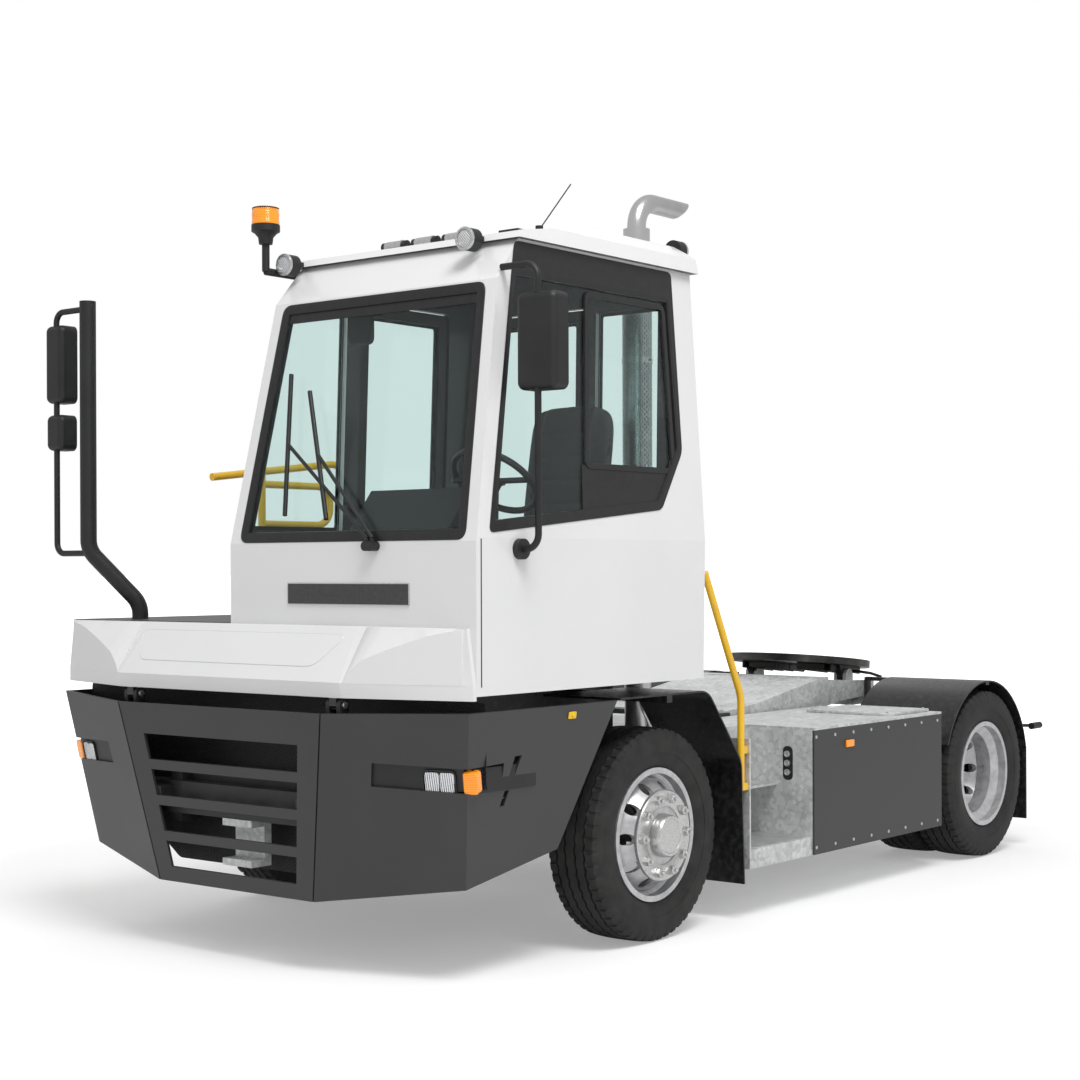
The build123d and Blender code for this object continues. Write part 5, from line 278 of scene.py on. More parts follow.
cast_iron = mottled(
    "cast_iron", (6.0, 6.0), (0.03, 0.03, 0.032), (0.075, 0.072, 0.068), Roughness=0.6, Metallic=0.3
)
cast_iron.relief(cast_iron.noise(180.0, 4.0), 0.0012, 0.6)
coat(cast_iron, "engine_block")

hard_chrome = mottled(
    "hard_chrome", (40.0,), (0.60, 0.60, 0.61), (0.72, 0.72, 0.73), Metallic=1.0, Roughness=0.12
)
coat(hard_chrome, "lift_rods")

radiator_core = Finish("radiator_core", Metallic=0.4, Roughness=0.5)
_, core_y, core_z = radiator_core.axes()
# The core is coloured dark between its fins and lighter on them: painted shade in the gaps between the
# fins.
fins_and_gap_shade = (core_y * 1500.0).sine() * 0.5 + (core_z * 420.0).sine() * 0.5
radiator_core.tint(fins_and_gap_shade + 0.5, (0.2, (0.008, 0.008, 0.009)), (0.8, (0.07, 0.07, 0.075)))
radiator_core.relief(fins_and_gap_shade, 0.002)
coat(radiator_core, "radiator")


def grid_faces(rows, columns, wrap_rows, wrap_columns):
    """Quads of a grid: corners (i, j), (i + 1, j), (i + 1, j + 1) and (i, j + 1)."""
    row = np.arange(rows if wrap_rows else rows - 1)[:, None]
    column = np.arange(columns if wrap_columns else columns - 1)[None, :]
    below = (row + 1) % rows
    beside = (column + 1) % columns
    pairs = ((row, column), (below, column), (below, beside), (row, beside))
    return np.stack([i * columns + j for i, j in pairs], axis=-1).reshape(-1, 4)


def piece(name, surfaces, finish, body, slot, sharp=35.0, stands_for=None):
    """Joins surfaces (points, wrap rows, wrap columns) into one mesh with closed poles."""
    faces = []
    start = 0
    for points, wrap_rows, wrap_columns in surfaces:
        faces.append(start + grid_faces(*points.shape[:2], wrap_rows, wrap_columns))
        start += points.shape[0] * points.shape[1]
    mesh = bpy.data.meshes.new(name)
    vertices = np.concatenate([points.reshape(-1, 3) for points, _, _ in surfaces])
    mesh.from_pydata(vertices, [], np.concatenate(faces))
    shell = bmesh.new()
    shell.from_mesh(mesh)
    bmesh.ops.remove_doubles(shell, verts=shell.verts, dist=5e-6)
    bmesh.ops.recalc_face_normals(shell, faces=shell.faces)
    shell.to_mesh(mesh)
    shell.free()
    new = bpy.data.objects.new(name, mesh)
    bpy.context.scene.collection.objects.link(new)
    mesh.shade_smooth()
    mesh.set_sharp_from_angle(angle=math.radians(sharp))
    mesh.materials.append(finish.material)
    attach(new, body)
    if stands_for:
        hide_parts(stands_for)
    return new


FORWARD, LEFT, UP = (1, 0, 0), (0, 1, 0), (0, 0, 1)


def lathe(profile, place, axis, count=24):
    """A profile of (height, radius) turned about an axis: P + h a + r (u cos t + v sin t)."""
    axis = np.array(axis, float)
    side = np.cross(axis, (0.0, 0.0, 1.0) if abs(axis[2]) < 0.9 else (1.0, 0.0, 0.0))
    side /= np.linalg.norm(side)
    other = np.cross(axis, side)
    turn = 2 * np.pi * np.arange(count)[None, :, None] / count
    height, radius = np.array(profile, float).T[:, :, None, None]
    points = np.array(place) + height * axis + radius * (side * np.cos(turn) + other * np.sin(turn))
    return points, False, True


def bolt(place, axis, across, height):
    """A hexagon head: a six-sided lathe with a chamfered crown."""
    radius = across / 2
    profile = [(0, 0), (0, radius), (height * 0.8, radius), (height, radius * 0.8), (height, 0)]
    return lathe(profile, place, axis, 6)


bright_steel = mottled(
    "bright_zinc_steel", (120.0,), (0.50, 0.50, 0.50), (0.68, 0.68, 0.67), Metallic=0.9, Roughness=0.3
)
RAIL_OUTER = 0.45
RAIL_BOLT_PLACES = np.arange(-2.4, 2.3, 0.24)
RAIL_BOLT_HEIGHTS = (0.60, 0.74)
rail_bolts = [
    bolt((x, side * RAIL_OUTER, z), (0, side, 0), 0.024, 0.012)
    for x in RAIL_BOLT_PLACES
    for z in RAIL_BOLT_HEIGHTS
    for side in (1, -1)
]
piece("frame_bolts", rail_bolts, bright_steel, "root", "black_steel")

# Wheels: pressed steel discs under silver paint, held by ten nuts, with a trim ring and
# a hub cap. Each tyre is a moulded carcass with zigzag grooves between its ribs,
# notches along its shoulders and rings on its sidewalls.
silver_paint = Finish("silver_paint", Metallic=0.65, Roughness=0.34, Coat_Weight=0.25)
grime = silver_paint.noise(22.0, 5.0)
silver_paint.weather(grime, 0.2, 0.26, (0.25, (0.42, 0.42, 0.43)), (0.65, (0.62, 0.62, 0.63)))
silver_paint.relief(silver_paint.noise(900.0), 0.0002, 0.4)
coat(silver_paint, "rim_front_left", "rim_front_right", "rims_rear_left", "rims_rear_right")

tyre_rubber = Finish("tyre_rubber", Roughness=0.7, Specular_IOR_Level=0.35)
scuff = tyre_rubber.noise(14.0, 6.0)
tyre_rubber.weather(scuff, 0.25, 0.55, (0.3, (0.012, 0.012, 0.012)), (0.75, (0.032, 0.031, 0.030)))
tyre_rubber.relief(tyre_rubber.noise(420.0, 4.0), 0.0005, 0.6)

TYRE_HALF = 0.1375
TREAD_HALF = 0.118
GROOVE_PLACES = (-0.074, -0.026, 0.026, 0.074)
GROOVE_WIDTH = 0.011
GROOVE_DEPTH = 0.013
ZIGZAG = 0.0035
TREAD_PITCHES = 54
NOTCH_DEPTH = 0.006
CROWN_DROP = 0.0055
RIB_EDGES = (0.110, 0.100, 0.088)
WEAVE_END = 0.085
SHOULDER_START, SHOULDER_LOW = 0.087, 0.452
# Sidewall from the bead out to the tread, as (across, radius).
SIDEWALL = [(0.1045, 0.2855), (0.1060, 0.2990), (0.1130, 0.3045), (0.1215, 0.3180), (0.1290, 0.3400)]
SIDEWALL += [(0.1345, 0.3660), (0.1365, 0.3665), (0.1375, 0.3900), (0.1372, 0.4080), (0.1345, 0.4150)]
SIDEWALL += [(0.1340, 0.4350), (0.1290, 0.4540), (0.1215, 0.4650), (TREAD_HALF, 0.4725)]
SIDEWALL = np.array(SIDEWALL)


def tyre_surface(middle_x, middle_y, axle_z, tyre_radius):
    """Radius over (turn, across): the crown less grooves that weave with the pitch."""
    edge = GROOVE_WIDTH / 2
    steps = [-edge, -edge * 0.6, edge * 0.6, edge]
    left = sorted([-r for r in RIB_EDGES] + [g + s for g in GROOVE_PLACES[:2] for s in steps])
    tread = np.array(left + [0.0] + [-across for across in left[::-1]])
    cut = np.isclose(np.abs(np.abs(tread) - np.abs(GROOVE_PLACES)[:2, None]), edge * 0.6).any(0)
    depth = cut * GROOVE_DEPTH
    crown = tyre_radius - CROWN_DROP * (np.abs(tread) / TREAD_HALF) ** 3
    across = np.concatenate([-SIDEWALL[:, 0], tread, SIDEWALL[::-1, 0]])
    base = np.concatenate([SIDEWALL[:, 1], crown - depth, SIDEWALL[::-1, 1]])
    weave = np.abs(across) < WEAVE_END
    shoulder = (np.abs(across) > SHOULDER_START) * (base > SHOULDER_LOW)
    parts = np.array([0.0, 0.30, 0.36, 0.50, 0.64, 0.70])
    turn = (np.arange(TREAD_PITCHES)[:, None] + parts).reshape(-1, 1) / TREAD_PITCHES
    notch = np.tile([0.0, 0.0, 1.0, 1.0, 1.0, 0.0], TREAD_PITCHES)[:, None]
    wave = np.abs(turn * TREAD_PITCHES % 1.0 - 0.5) * 4 - 1
    radius = base - notch * shoulder * NOTCH_DEPTH
    place = across + wave * weave * ZIGZAG
    angle = 2 * np.pi * turn
    points = [middle_x + radius * np.cos(angle), middle_y + place, axle_z + radius * np.sin(angle)]
    return np.stack(points, axis=-1), True, True


NUT_COUNT = 10
NUT_CIRCLE = 0.1675
NUT_PROFILE = [(0, 0), (0, 0.024), (0.012, 0.024), (0.012, 0.0215)]
NUT_PROFILE += [(0.029, 0.0215), (0.033, 0.017), (0.033, 0)]
STUD_PROFILE = [(0.030, 0), (0.030, 0.010), (0.042, 0.010), (0.045, 0.007), (0.045, 0)]
RING_PROFILE = [
    (-0.010, 0.2035), (0.004, 0.2035), (0.009, 0.199), (0.009, 0.136), (0.006, 0.131), (-0.004, 0.131)
]
FRONT_CAP_PROFILE = [(-0.038, 0), (-0.038, 0.098), (0.000, 0.094), (0.008, 0.088)]
FRONT_CAP_PROFILE += [(0.008, 0.079), (0.003, 0.074), (0.003, 0)]
CAP_PROFILE = [
    (0, 0), (0, 0.060), (0.006, 0.060), (0.010, 0.054), (0.014, 0.050), (0.017, 0.030), (0.017, 0)
]
for tyre, body, disc_y, hub_y in (
    ("tyre_front_left", "wheel_front_left", 1.222, 1.262),
    ("tyre_front_right", "wheel_front_right", -1.222, -1.262),
    ("tyres_rear_left", "wheels_rear_left", 0.9715, 1.0575),
    ("tyres_rear_right", "wheels_rear_right", -0.9715, -1.0575),
):
    low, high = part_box(tyre)
    x, z = (low.x + high.x) / 2, (low.z + high.z) / 2
    centres = {low.y + TYRE_HALF, high.y - TYRE_HALF}
    if high.y - low.y < 3 * TYRE_HALF:
        centres = {(low.y + high.y) / 2}
    surfaces = [tyre_surface(x, y, z, (high.z - low.z) / 2) for y in sorted(centres)]
    piece(f"{tyre}_carcass", surfaces, tyre_rubber, body, "rubber", 28.0, tyre)
    axis = (0.0, math.copysign(1.0, disc_y), 0.0)
    front = "front" in tyre
    cap_profile = FRONT_CAP_PROFILE if front else CAP_PROFILE
    fittings = [lathe(cap_profile, (x, hub_y, z), axis, 48)]
    if front:
        ring = [*RING_PROFILE, RING_PROFILE[0]]
        fittings.append(lathe(ring, (x, disc_y, z), axis, 72))
    for turn in 2 * np.pi * np.arange(NUT_COUNT) / NUT_COUNT:
        nut = (x + NUT_CIRCLE * np.cos(turn), disc_y, z + NUT_CIRCLE * np.sin(turn))
        fittings += [lathe(NUT_PROFILE, nut, axis, 6), lathe(STUD_PROFILE, nut, axis, 10)]
    piece(f"{body}_nuts", fittings, bright_steel, body, "silver")

# Bumper: three folded steel panels with a fine dark grey powder coat. A black tray
# closes each lamp recess. In front of it sit two bright head lamp bowls in a moulded
# bezel and an amber indicator, all screwed on.
grey_coat = Finish("grey_powder_coat", Roughness=0.42)
haze = grey_coat.noise(3.0, 4.0)
grey_coat.weather(haze, 0.12, 0.36, (0.3, (0.031, 0.031, 0.032)), (0.7, (0.037, 0.037, 0.038)))
grey_coat.relief(grey_coat.noise(1400.0), 0.00025, 0.5)
coat(grey_coat, "bumper_center", "bumper_corners", "side_panels", "right_deck")

black_plastic = mottled(
    "black_plastic", (5.0,), (0.007, 0.007, 0.008), (0.013, 0.013, 0.014), Roughness=0.5
)
black_plastic.relief(black_plastic.noise(1100.0, 2.0), 0.0005, 0.5)
coat(black_plastic, "head_lamps")


def rounded(corners, radius, steps=6):
    """An outline whose corners follow (1 - t)^2 a + 2 t (1 - t) c + t^2 b."""
    corners = np.array(corners, float)
    t = np.linspace(0, 1, steps)[:, None]
    parts = []
    for before, corner, after in zip(np.roll(corners, 1, 0), corners, np.roll(corners, -1, 0)):
        runs = [(end - corner) / np.linalg.norm(end - corner) for end in (before, after)]
        first, last = (corner + run * radius for run in runs)
        parts.append((1 - t) ** 2 * first + 2 * t * (1 - t) * corner + t**2 * last)
    return np.concatenate(parts)


def oblong(width, height, radius, centre=(0.0, 0.0)):
    """A rounded rectangle about a centre."""
    half_w, half_h = width / 2, height / 2
    corners = np.array([(-half_w, -half_h), (half_w, -half_h), (half_w, half_h), (-half_w, half_h)])
    return rounded(corners + centre, radius)


def grown(outline, by):
    """An anticlockwise outline moved outwards with mitred corners."""
    edge = np.roll(outline, -1, 0) - outline
    edge /= np.linalg.norm(edge, axis=1)[:, None]
    normal = np.stack([edge[:, 1], -edge[:, 0]], axis=1)
    before = np.roll(normal, 1, 0)
    mitre = (normal + before) / (1 + (normal * before).sum(1))[:, None]
    return outline + by * mitre


def flat(origin, across, up):
    """Maps plane points and a height to space: O + p a + q b + h (a x b)."""
    origin, across, up = (np.array(v, float) for v in (origin, across, up))
    normal = np.cross(across, up)
    return lambda points, height: origin + points[:, :1] * across + points[:, 1:] * up + height * normal


def swept(rings, space, wrap):
    """A surface through rings of (outline, height), closed round when it wraps."""
    return np.stack([space(points, height) for points, height in rings]), wrap, True


def plate(outline, space, thick, edge=0.0015, low=0.0):
    """A closed plate: rings of the outline, drawn in at both faces and shut at the middle."""
    middle = np.repeat(outline.mean(0)[None], len(outline), 0)
    inner = grown(outline, -edge)
    high = low + thick
    rings = [(middle, low), (inner, low), (outline, low + edge)]
    return swept([*rings, (outline, high - edge), (inner, high), (middle, high)], space, False)


def frame_ring(outline, space, section):
    """A strip round an outline, its section given as (outwards, height)."""
    return swept([(grown(outline, by), height) for by, height in section], space, True)


def between(outer, inner, space, thick, low=0.0):
    """A flat panel with a hole: both outlines have the same count of points."""
    high = low + thick
    return swept([(outer, low), (outer, high), (inner, high), (inner, low)], space, True)


lamp_chrome = Finish("lamp_reflector", Metallic=1.0, Roughness=0.16, Coat_Weight=1.0)
# The reflector's colour runs lighter and darker along its ribs: painted glints.
ribs = (lamp_chrome.axes()[1] * 700.0).sine()
lamp_chrome.tint(ribs, (0.2, (0.55, 0.56, 0.58)), (0.8, (0.85, 0.86, 0.88)))
lamp_chrome.relief(ribs, 0.0015)
amber = Finish("amber_lens", Roughness=0.12, Coat_Weight=0.6, Emission_Strength=0.25)
# The lens is coloured lighter along its ribs, in its base colour and its glow: painted glints.
amber_ribs_and_glints = (amber.axes()[2] * 900.0).sine() * 0.5 + 0.5
amber.feed(
    Base_Color=amber.ramp(amber_ribs_and_glints, (0.2, (0.80, 0.22, 0.005)), (0.9, (1.0, 0.36, 0.01))),
    Emission_Color=amber.ramp(amber_ribs_and_glints, (0.2, (0.9, 0.20, 0.0)), (0.9, (1.0, 0.35, 0.0))),
)
amber.relief(amber_ribs_and_glints, 0.0008)

SIDES = ((1, "left"), (-1, "right"))
# The lamps' plane: its middle and its normal on the left side.
LAMP_FACE = np.array((2.5814, 1.0851, 0.8230))
FACET_NORMAL = np.array((0.937, 0.297, -0.185))
for side, side_name in SIDES:
    mirrored = np.array((1.0, side, 1.0))
    normal = FACET_NORMAL / np.linalg.norm(FACET_NORMAL) * mirrored
    across = np.cross(UP, normal)
    across /= np.linalg.norm(across)
    up = np.cross(normal, across)
    face = flat(LAMP_FACE * mirrored, across, up)
    bowl = [
        plate(oblong(0.062, 0.086, 0.014, (offset, 0.0)), face, 0.006, 0.002)
        for offset in (-0.033, 0.033)
    ]
    piece(f"head_lamp_bowls_{side_name}", bowl, lamp_chrome, "root", "lamp")
    bezel = [(0, 0), (0.006, 0), (0.006, 0.008), (0.001, 0.008)]
    bezel = frame_ring(oblong(0.134, 0.092, 0.018), face, bezel)
    piece(f"head_lamp_bezel_{side_name}", [bezel], black_plastic, "root", "black_plastic")
    indicator = plate(oblong(0.062, 0.090, 0.014, (side * 0.132, 0.0)), face, 0.046, 0.004, -0.040)
    piece(f"indicator_{side_name}", [indicator], amber, "root", "lamp")
    tray = plate(oblong(0.50, 0.110, 0.01, (side * -0.085, 0.0)), face, 0.004, 0.001, -0.088)
    side_face = flat((2.33, side * 1.205, 0.828), (-side, 0, 0), UP)
    side_tray = plate(oblong(0.40, 0.100, 0.01), side_face, 0.004, 0.001)
    piece(f"lamp_tray_{side_name}", [tray, side_tray], black_plastic, "root", "black_plastic")

# Bulkhead: black painted sheet steel that closes the space behind the bumper, punched with small holes
# to let air through to the radiator. The sheet runs up under the cowl, where it also stands in for the
# shade in the gap between the bumper and the cowl, and its holes are coloured darker than the sheet as
# painted shade in the holes. Yellow steel catches are bolted to the bumper's rear corners.
guard_mesh = Finish("punched_guard", Roughness=0.55)
_, guard_y, guard_z = guard_mesh.axes()
# The holes are coloured darker than the sheet: painted shade in the holes.
punch_holes_and_shade = ((guard_y * 330.0).sine() * (guard_z * 330.0).sine() * 4.0).clamp()
guard_mesh.tint(punch_holes_and_shade, (0.1, (0.020, 0.020, 0.021)), (0.9, (0.002, 0.002, 0.002)))
guard_mesh.relief(punch_holes_and_shade, -0.004)
bulkhead_face = flat((2.460, 0.0, 0.0), LEFT, UP)
bulkhead = [(-0.60, 0.36), (0.60, 0.36), (1.225, 0.80), (1.225, 1.135), (-1.225, 1.135), (-1.225, 0.80)]
bulkhead = plate(rounded(bulkhead, 0.02), bulkhead_face, 0.004, 0.001)
piece("bulkhead", [bulkhead], guard_mesh, "root", "black_steel")

safety_yellow = mottled(
    "safety_yellow", (30.0,), (0.80, 0.50, 0.01), (0.88, 0.58, 0.02), Roughness=0.35
)
for side, side_name in SIDES:
    catch_face = flat((1.934, side * 1.2445, 1.056), (-side, 0, 0), (0, side * 0.152, 0.988))
    catch = [plate(oblong(0.052, 0.030, 0.006), catch_face, 0.004)]
    catch.append(bolt((1.934, side * 1.2480, 1.056), (0, side, 0), 0.016, 0.008))
    piece(f"bumper_catch_{side_name}", catch, safety_yellow, "root", "yellow")

# Cowl: one moulded panel under white gloss paint, with a shallow swage on its sloped
# front and flat corners below a curved crease. It tilts on turned steel pins in the
# frame's black lugs.
white_paint = Finish("white_gloss_paint", Roughness=0.22, Coat_Weight=0.4, Coat_Roughness=0.06)
WHITE_STOPS = ((0.3, (0.72, 0.72, 0.724)), (0.7, (0.745, 0.745, 0.745)))
LUG_TOP = 1.1465
white_gloss = white_paint.ramp(white_paint.noise(2.0), *WHITE_STOPS)
black_gloss = white_paint.ramp(
    white_paint.noise(9.0), (0.3, (0.010, 0.010, 0.011)), (0.7, (0.016, 0.016, 0.017))
)
lug = white_paint.axes()[2] < LUG_TOP
white_paint.feed(Base_Color=white_paint.blend(lug, white_gloss, black_gloss))
white_paint.relief(white_paint.noise(300.0, 2.0), 0.0001, 0.3)
coat(white_paint, "front_hood", "right_side_panel")

slope = flat((2.6939, 0.0, 1.2764), LEFT, (-0.574, 0.0, 0.819))
swage = rounded([(-0.60, -0.010), (0.50, -0.012), (0.61, 0.150), (-0.67, 0.150)], 0.05)
piece("cowl_swage", [plate(swage, slope, 0.0024, 0.0022, -0.0005)], white_paint, "cab", "white_paint")

# The cowl's front runs at x = 2.9448 - 0.2975 |y|. A corner is swept outwards along it,
# by stations of the distance out, the height of the crease and the x of the upper edge.
COWL_FRONT, COWL_SWEEP = 2.9448, 0.2975
CORNER_LOW, CORNER_HIGH = 1.208, 1.431
CORNER_STATIONS = [(0.700, 1.2150, 2.5931), (0.720, 1.2500, 2.5925), (0.777, 1.2995, 2.5900)]
CORNER_STATIONS += [(0.905, 1.3500, 2.5836), (1.063, 1.4020, 2.5775), (1.205, 1.4290, 2.5727)]
for side, side_name in SIDES:
    out, crease, upper = np.array(CORNER_STATIONS).T
    along = np.linspace(out[0], out[-1], 25)
    crease = np.interp(along, out, crease)
    upper = np.interp(along, out, upper)
    front = COWL_FRONT - COWL_SWEEP * along
    low = np.full_like(along, CORNER_LOW)
    high = np.full_like(along, CORNER_HIGH)
    section = [
        (front, low), (front, crease), (upper, high), (upper - 0.014, high), (front - 0.015, low)
    ]
    rows = np.stack([np.stack([x, side * along, z], axis=-1) for x, z in section], axis=1)
    caps = [np.repeat(rows[end].mean(axis=0, keepdims=True), 5, axis=0)[None] for end in (0, -1)]
    corner = np.concatenate([caps[0], rows, caps[1]])
    piece(f"cowl_corner_{side_name}", [(corner, False, True)], white_paint, "cab", "white_paint", 20.0)

PIN_PROFILE = [(0, 0), (0, 0.015), (0.007, 0.015), (0.010, 0.012), (0.010, 0)]
TILT_X, TILT_Z = 2.695, 1.118
pins = [
    lathe(PIN_PROFILE, (TILT_X, y, TILT_Z), (0, toward, 0))
    for y, toward in ((0.6713, 1), (0.5907, -1), (-0.5907, 1), (-0.6713, -1))
]
piece("tilt_pins", pins, bright_steel, "root", "silver")

# Cab shell and roof: pressed panels, white gloss outside and dark trim inside. The
# glass is set in black rubber, and a black panel runs round the driver's side window.
cab_paint = Finish("cab_paint", Coat_Weight=0.4, Coat_Roughness=0.06)
CAB_MIDDLE = (1.75, 0.545, 2.0)
outside = cab_paint.outward(CAB_MIDDLE) > 0.0
shell_white = cab_paint.ramp(cab_paint.noise(2.0), *WHITE_STOPS)
shell_trim = cab_paint.ramp(
    cab_paint.noise(40.0), (0.3, (0.030, 0.031, 0.033)), (0.7, (0.045, 0.046, 0.048))
)
cab_paint.feed(
    Base_Color=cab_paint.blend(outside, shell_trim, shell_white),
    Roughness=0.62 - outside * 0.40,
)
cab_paint.relief(cab_paint.noise(300.0, 2.0), 0.0001, 0.3)
coat(cab_paint, "cab_left_side", "cab_right_side", "cab_rear_wall", "cab_front_panel", "cab_roof")
coat(black_plastic, "cab_floor")

GLASS_TINTS = (0.76, 0.86, 0.845), (0.77, 0.87, 0.855)
tinted_glass = mottled(
    "tinted_glass", (1.0,), *GLASS_TINTS, Roughness=0.0, Transmission_Weight=1.0, IOR=1.25
)
coat(tinted_glass, "cab_glass", "right_door_glass", "rear_door_glass")

rubber_seal = mottled(
    "window_rubber", (25.0,), (0.006, 0.006, 0.0065), (0.011, 0.011, 0.0115), Roughness=0.42
)
rubber_seal.relief(rubber_seal.noise(600.0), 0.0002, 0.5)
GLASS_IN = -0.008
SEAL_SECTION = [(-0.018, GLASS_IN), (-0.016, 0.000), (-0.004, 0.004), (0.008, 0.003), (0.010, 0.000)]

# Foot height and rise of the walls, then where each wall stands and how it leans.
WALL_FOOT, WALL_RISE = 1.79, 1.23
FRONT_X, FRONT_FOOT, FRONT_SLOPE = 2.55, 1.776, 0.235 / 1.064
LEFT_Y, LEFT_LEAN = 1.25, 0.10
RIGHT_Y, RIGHT_LEAN = -0.16, 0.05
REAR_X, REAR_FOOT, REAR_SLOPE = 0.96, 1.165, 0.04 / 1.855


def windscreen(points, height):
    """Front wall: (y, z) goes to (x, y, z), x falling by the slope above the wall's foot."""
    y, z = points.T
    return np.stack([FRONT_X - FRONT_SLOPE * np.maximum(z - FRONT_FOOT, 0) + height, y, z], axis=1)


def left_wall(points, height):
    """Driver's wall: (x, z) goes to (x, y, z), y falling by the lean over the wall's rise."""
    x, z = points.T
    lean = LEFT_LEAN * np.maximum(z - WALL_FOOT, 0) / WALL_RISE
    return np.stack([x, LEFT_Y - lean + height, z], axis=1)


def right_wall(points, height):
    """Right wall: (x, z) goes to (x, y, z), y growing by the lean, outwards along -y."""
    x, z = points.T
    lean = RIGHT_LEAN * np.maximum(z - WALL_FOOT, 0) / WALL_RISE
    return np.stack([x, RIGHT_Y + lean - height, z], axis=1)


def rear_wall(points, height):
    """Rear wall: (y, z) goes to (x, y, z), x falling by the slope, outwards along -x."""
    y, z = points.T
    return np.stack([REAR_X - REAR_SLOPE * (z - REAR_FOOT) - height, y, z], axis=1)


SCREEN_LOW, SCREEN_HIGH, SCREEN_INSET = 1.792, 2.820, 0.068


def screen_y(z):
    """Both ends of the windscreen opening at a height."""
    lean = (z - WALL_FOOT) / WALL_RISE
    return RIGHT_Y + RIGHT_LEAN * lean + SCREEN_INSET, LEFT_Y - LEFT_LEAN * lean - SCREEN_INSET


screen = [(y, z) for z, way in ((SCREEN_LOW, 1), (SCREEN_HIGH, -1)) for y in screen_y(z)[::way]]
screen = rounded(screen, 0.035)
WIDE_SECTION = [(-0.034, GLASS_IN), (-0.032, 0.000), (-0.006, 0.004), (0.010, 0.003), (0.012, 0.000)]
header = [(-0.04, 2.745), (1.12, 2.745), (1.095, 2.812), (-0.02, 2.812)]
header = plate(rounded(header, 0.01), windscreen, 0.002, 0.0005, GLASS_IN)
seal = frame_ring(screen, windscreen, WIDE_SECTION)
piece("windscreen_rubber", [seal, header], rubber_seal, "cab", "rubber")

side_hole = rounded(
    [(2.441, 1.84), (1.29, 1.95), (1.11, 2.20), (1.11, 2.89), (2.209, 2.89)][::-1], 0.03
)
side_edge = rounded(
    [(2.470, 1.808), (1.275, 1.925), (1.085, 2.19), (1.075, 3.008), (2.192, 3.008)][::-1], 0.03
)
side_panel = between(side_edge, grown(side_hole, -0.014), left_wall, 0.0020, 0.0008)
side_trim = frame_ring(side_hole, left_wall, SEAL_SECTION)
slider = rounded([(1.155, 2.10), (1.80, 2.10), (1.72, 2.84), (1.155, 2.84)], 0.03)
slider_section = [(-0.014, GLASS_IN), (-0.012, 0.001), (0.012, 0.001), (0.014, GLASS_IN)]
slider_frame = frame_ring(slider, left_wall, slider_section)
rail_line = rounded([(1.10, 2.865), (2.20, 2.865), (2.20, 2.893), (1.10, 2.893)], 0.005)
rail_line = plate(rail_line, left_wall, 0.010, 0.002, GLASS_IN)
sill = [(1.845, 1.893), (1.290, 1.947), (1.175, 2.105), (1.830, 2.105)][::-1]
sill_panel = plate(rounded(sill, 0.012), left_wall, 0.005, 0.001, GLASS_IN)
side_pieces = [side_panel, side_trim, slider_frame, rail_line, sill_panel]
piece("side_window_trim", side_pieces, rubber_seal, "cab", "black_plastic")

coat(black_plastic, "right_door", "rear_door")
DOOR_SECTION = [(-0.014, GLASS_IN), (-0.012, 0.002), (0.008, 0.002), (0.010, 0.000)]
for name, wall, corners in (
    ("right_window", right_wall, [(1.90, 1.84), (2.447, 1.84), (2.226, 2.86), (1.90, 2.86)]),
    ("rear_window", rear_wall, [(0.64, 1.90), (1.00, 1.90), (1.00, 2.88), (0.64, 2.88)]),
    ("right_door", right_wall, [(1.255, 1.88), (1.745, 1.88), (1.745, 2.845), (1.255, 2.845)]),
    ("rear_door", rear_wall, [(0.005, 1.635), (0.515, 1.635), (0.515, 2.845), (0.005, 2.845)]),
):
    is_door = name.endswith("door")
    seal = frame_ring(rounded(corners, 0.03), wall, DOOR_SECTION if is_door else SEAL_SECTION)
    piece(f"{name}_rubber", [seal], rubber_seal, name if is_door else "cab", "rubber")

# Blank name plate below the windscreen: a dark satin sheet glued on, in a thin bright
# frame. A rubber strip fills the seam in the cab's front corner.
plate_outline = oblong(0.700, 0.092, 0.006, (0.5475, 1.5635))
plate_dark = mottled(
    "plate_dark", (60.0,), (0.035, 0.035, 0.037), (0.048, 0.048, 0.050), Roughness=0.35
)
front_wall = flat((FRONT_X, 0.0, 0.0), LEFT, UP)
badge = plate(grown(plate_outline, -0.003), front_wall, 0.0030)
piece("badge_plate", [badge], plate_dark, "cab", "dark_grey")
badge_rim = frame_ring(plate_outline, front_wall, [(-0.004, 0), (-0.004, 0.0042), (0, 0.0042), (0, 0)])
piece("badge_rim", [badge_rim], bright_steel, "cab", "chrome")
side_seam = rounded([(2.517, 1.20), (2.523, 1.20), (2.523, 1.785), (2.517, 1.785)], 0.0015)
seam_strip = plate(side_seam, left_wall, 0.0012, 0.0003)
piece("pillar_seam", [seam_strip], rubber_seal, "cab", "rubber")

# Roof fittings: lamps with clear faces in bright rims, the amber beacon on its black
# foot, and three air horns of drawn tube with black ends.
coat(black_plastic, "roof_equipment")
clear_lens = Finish("clear_lamp_lens", Roughness=0.06, Coat_Weight=1.0)
prism = clear_lens.axes()
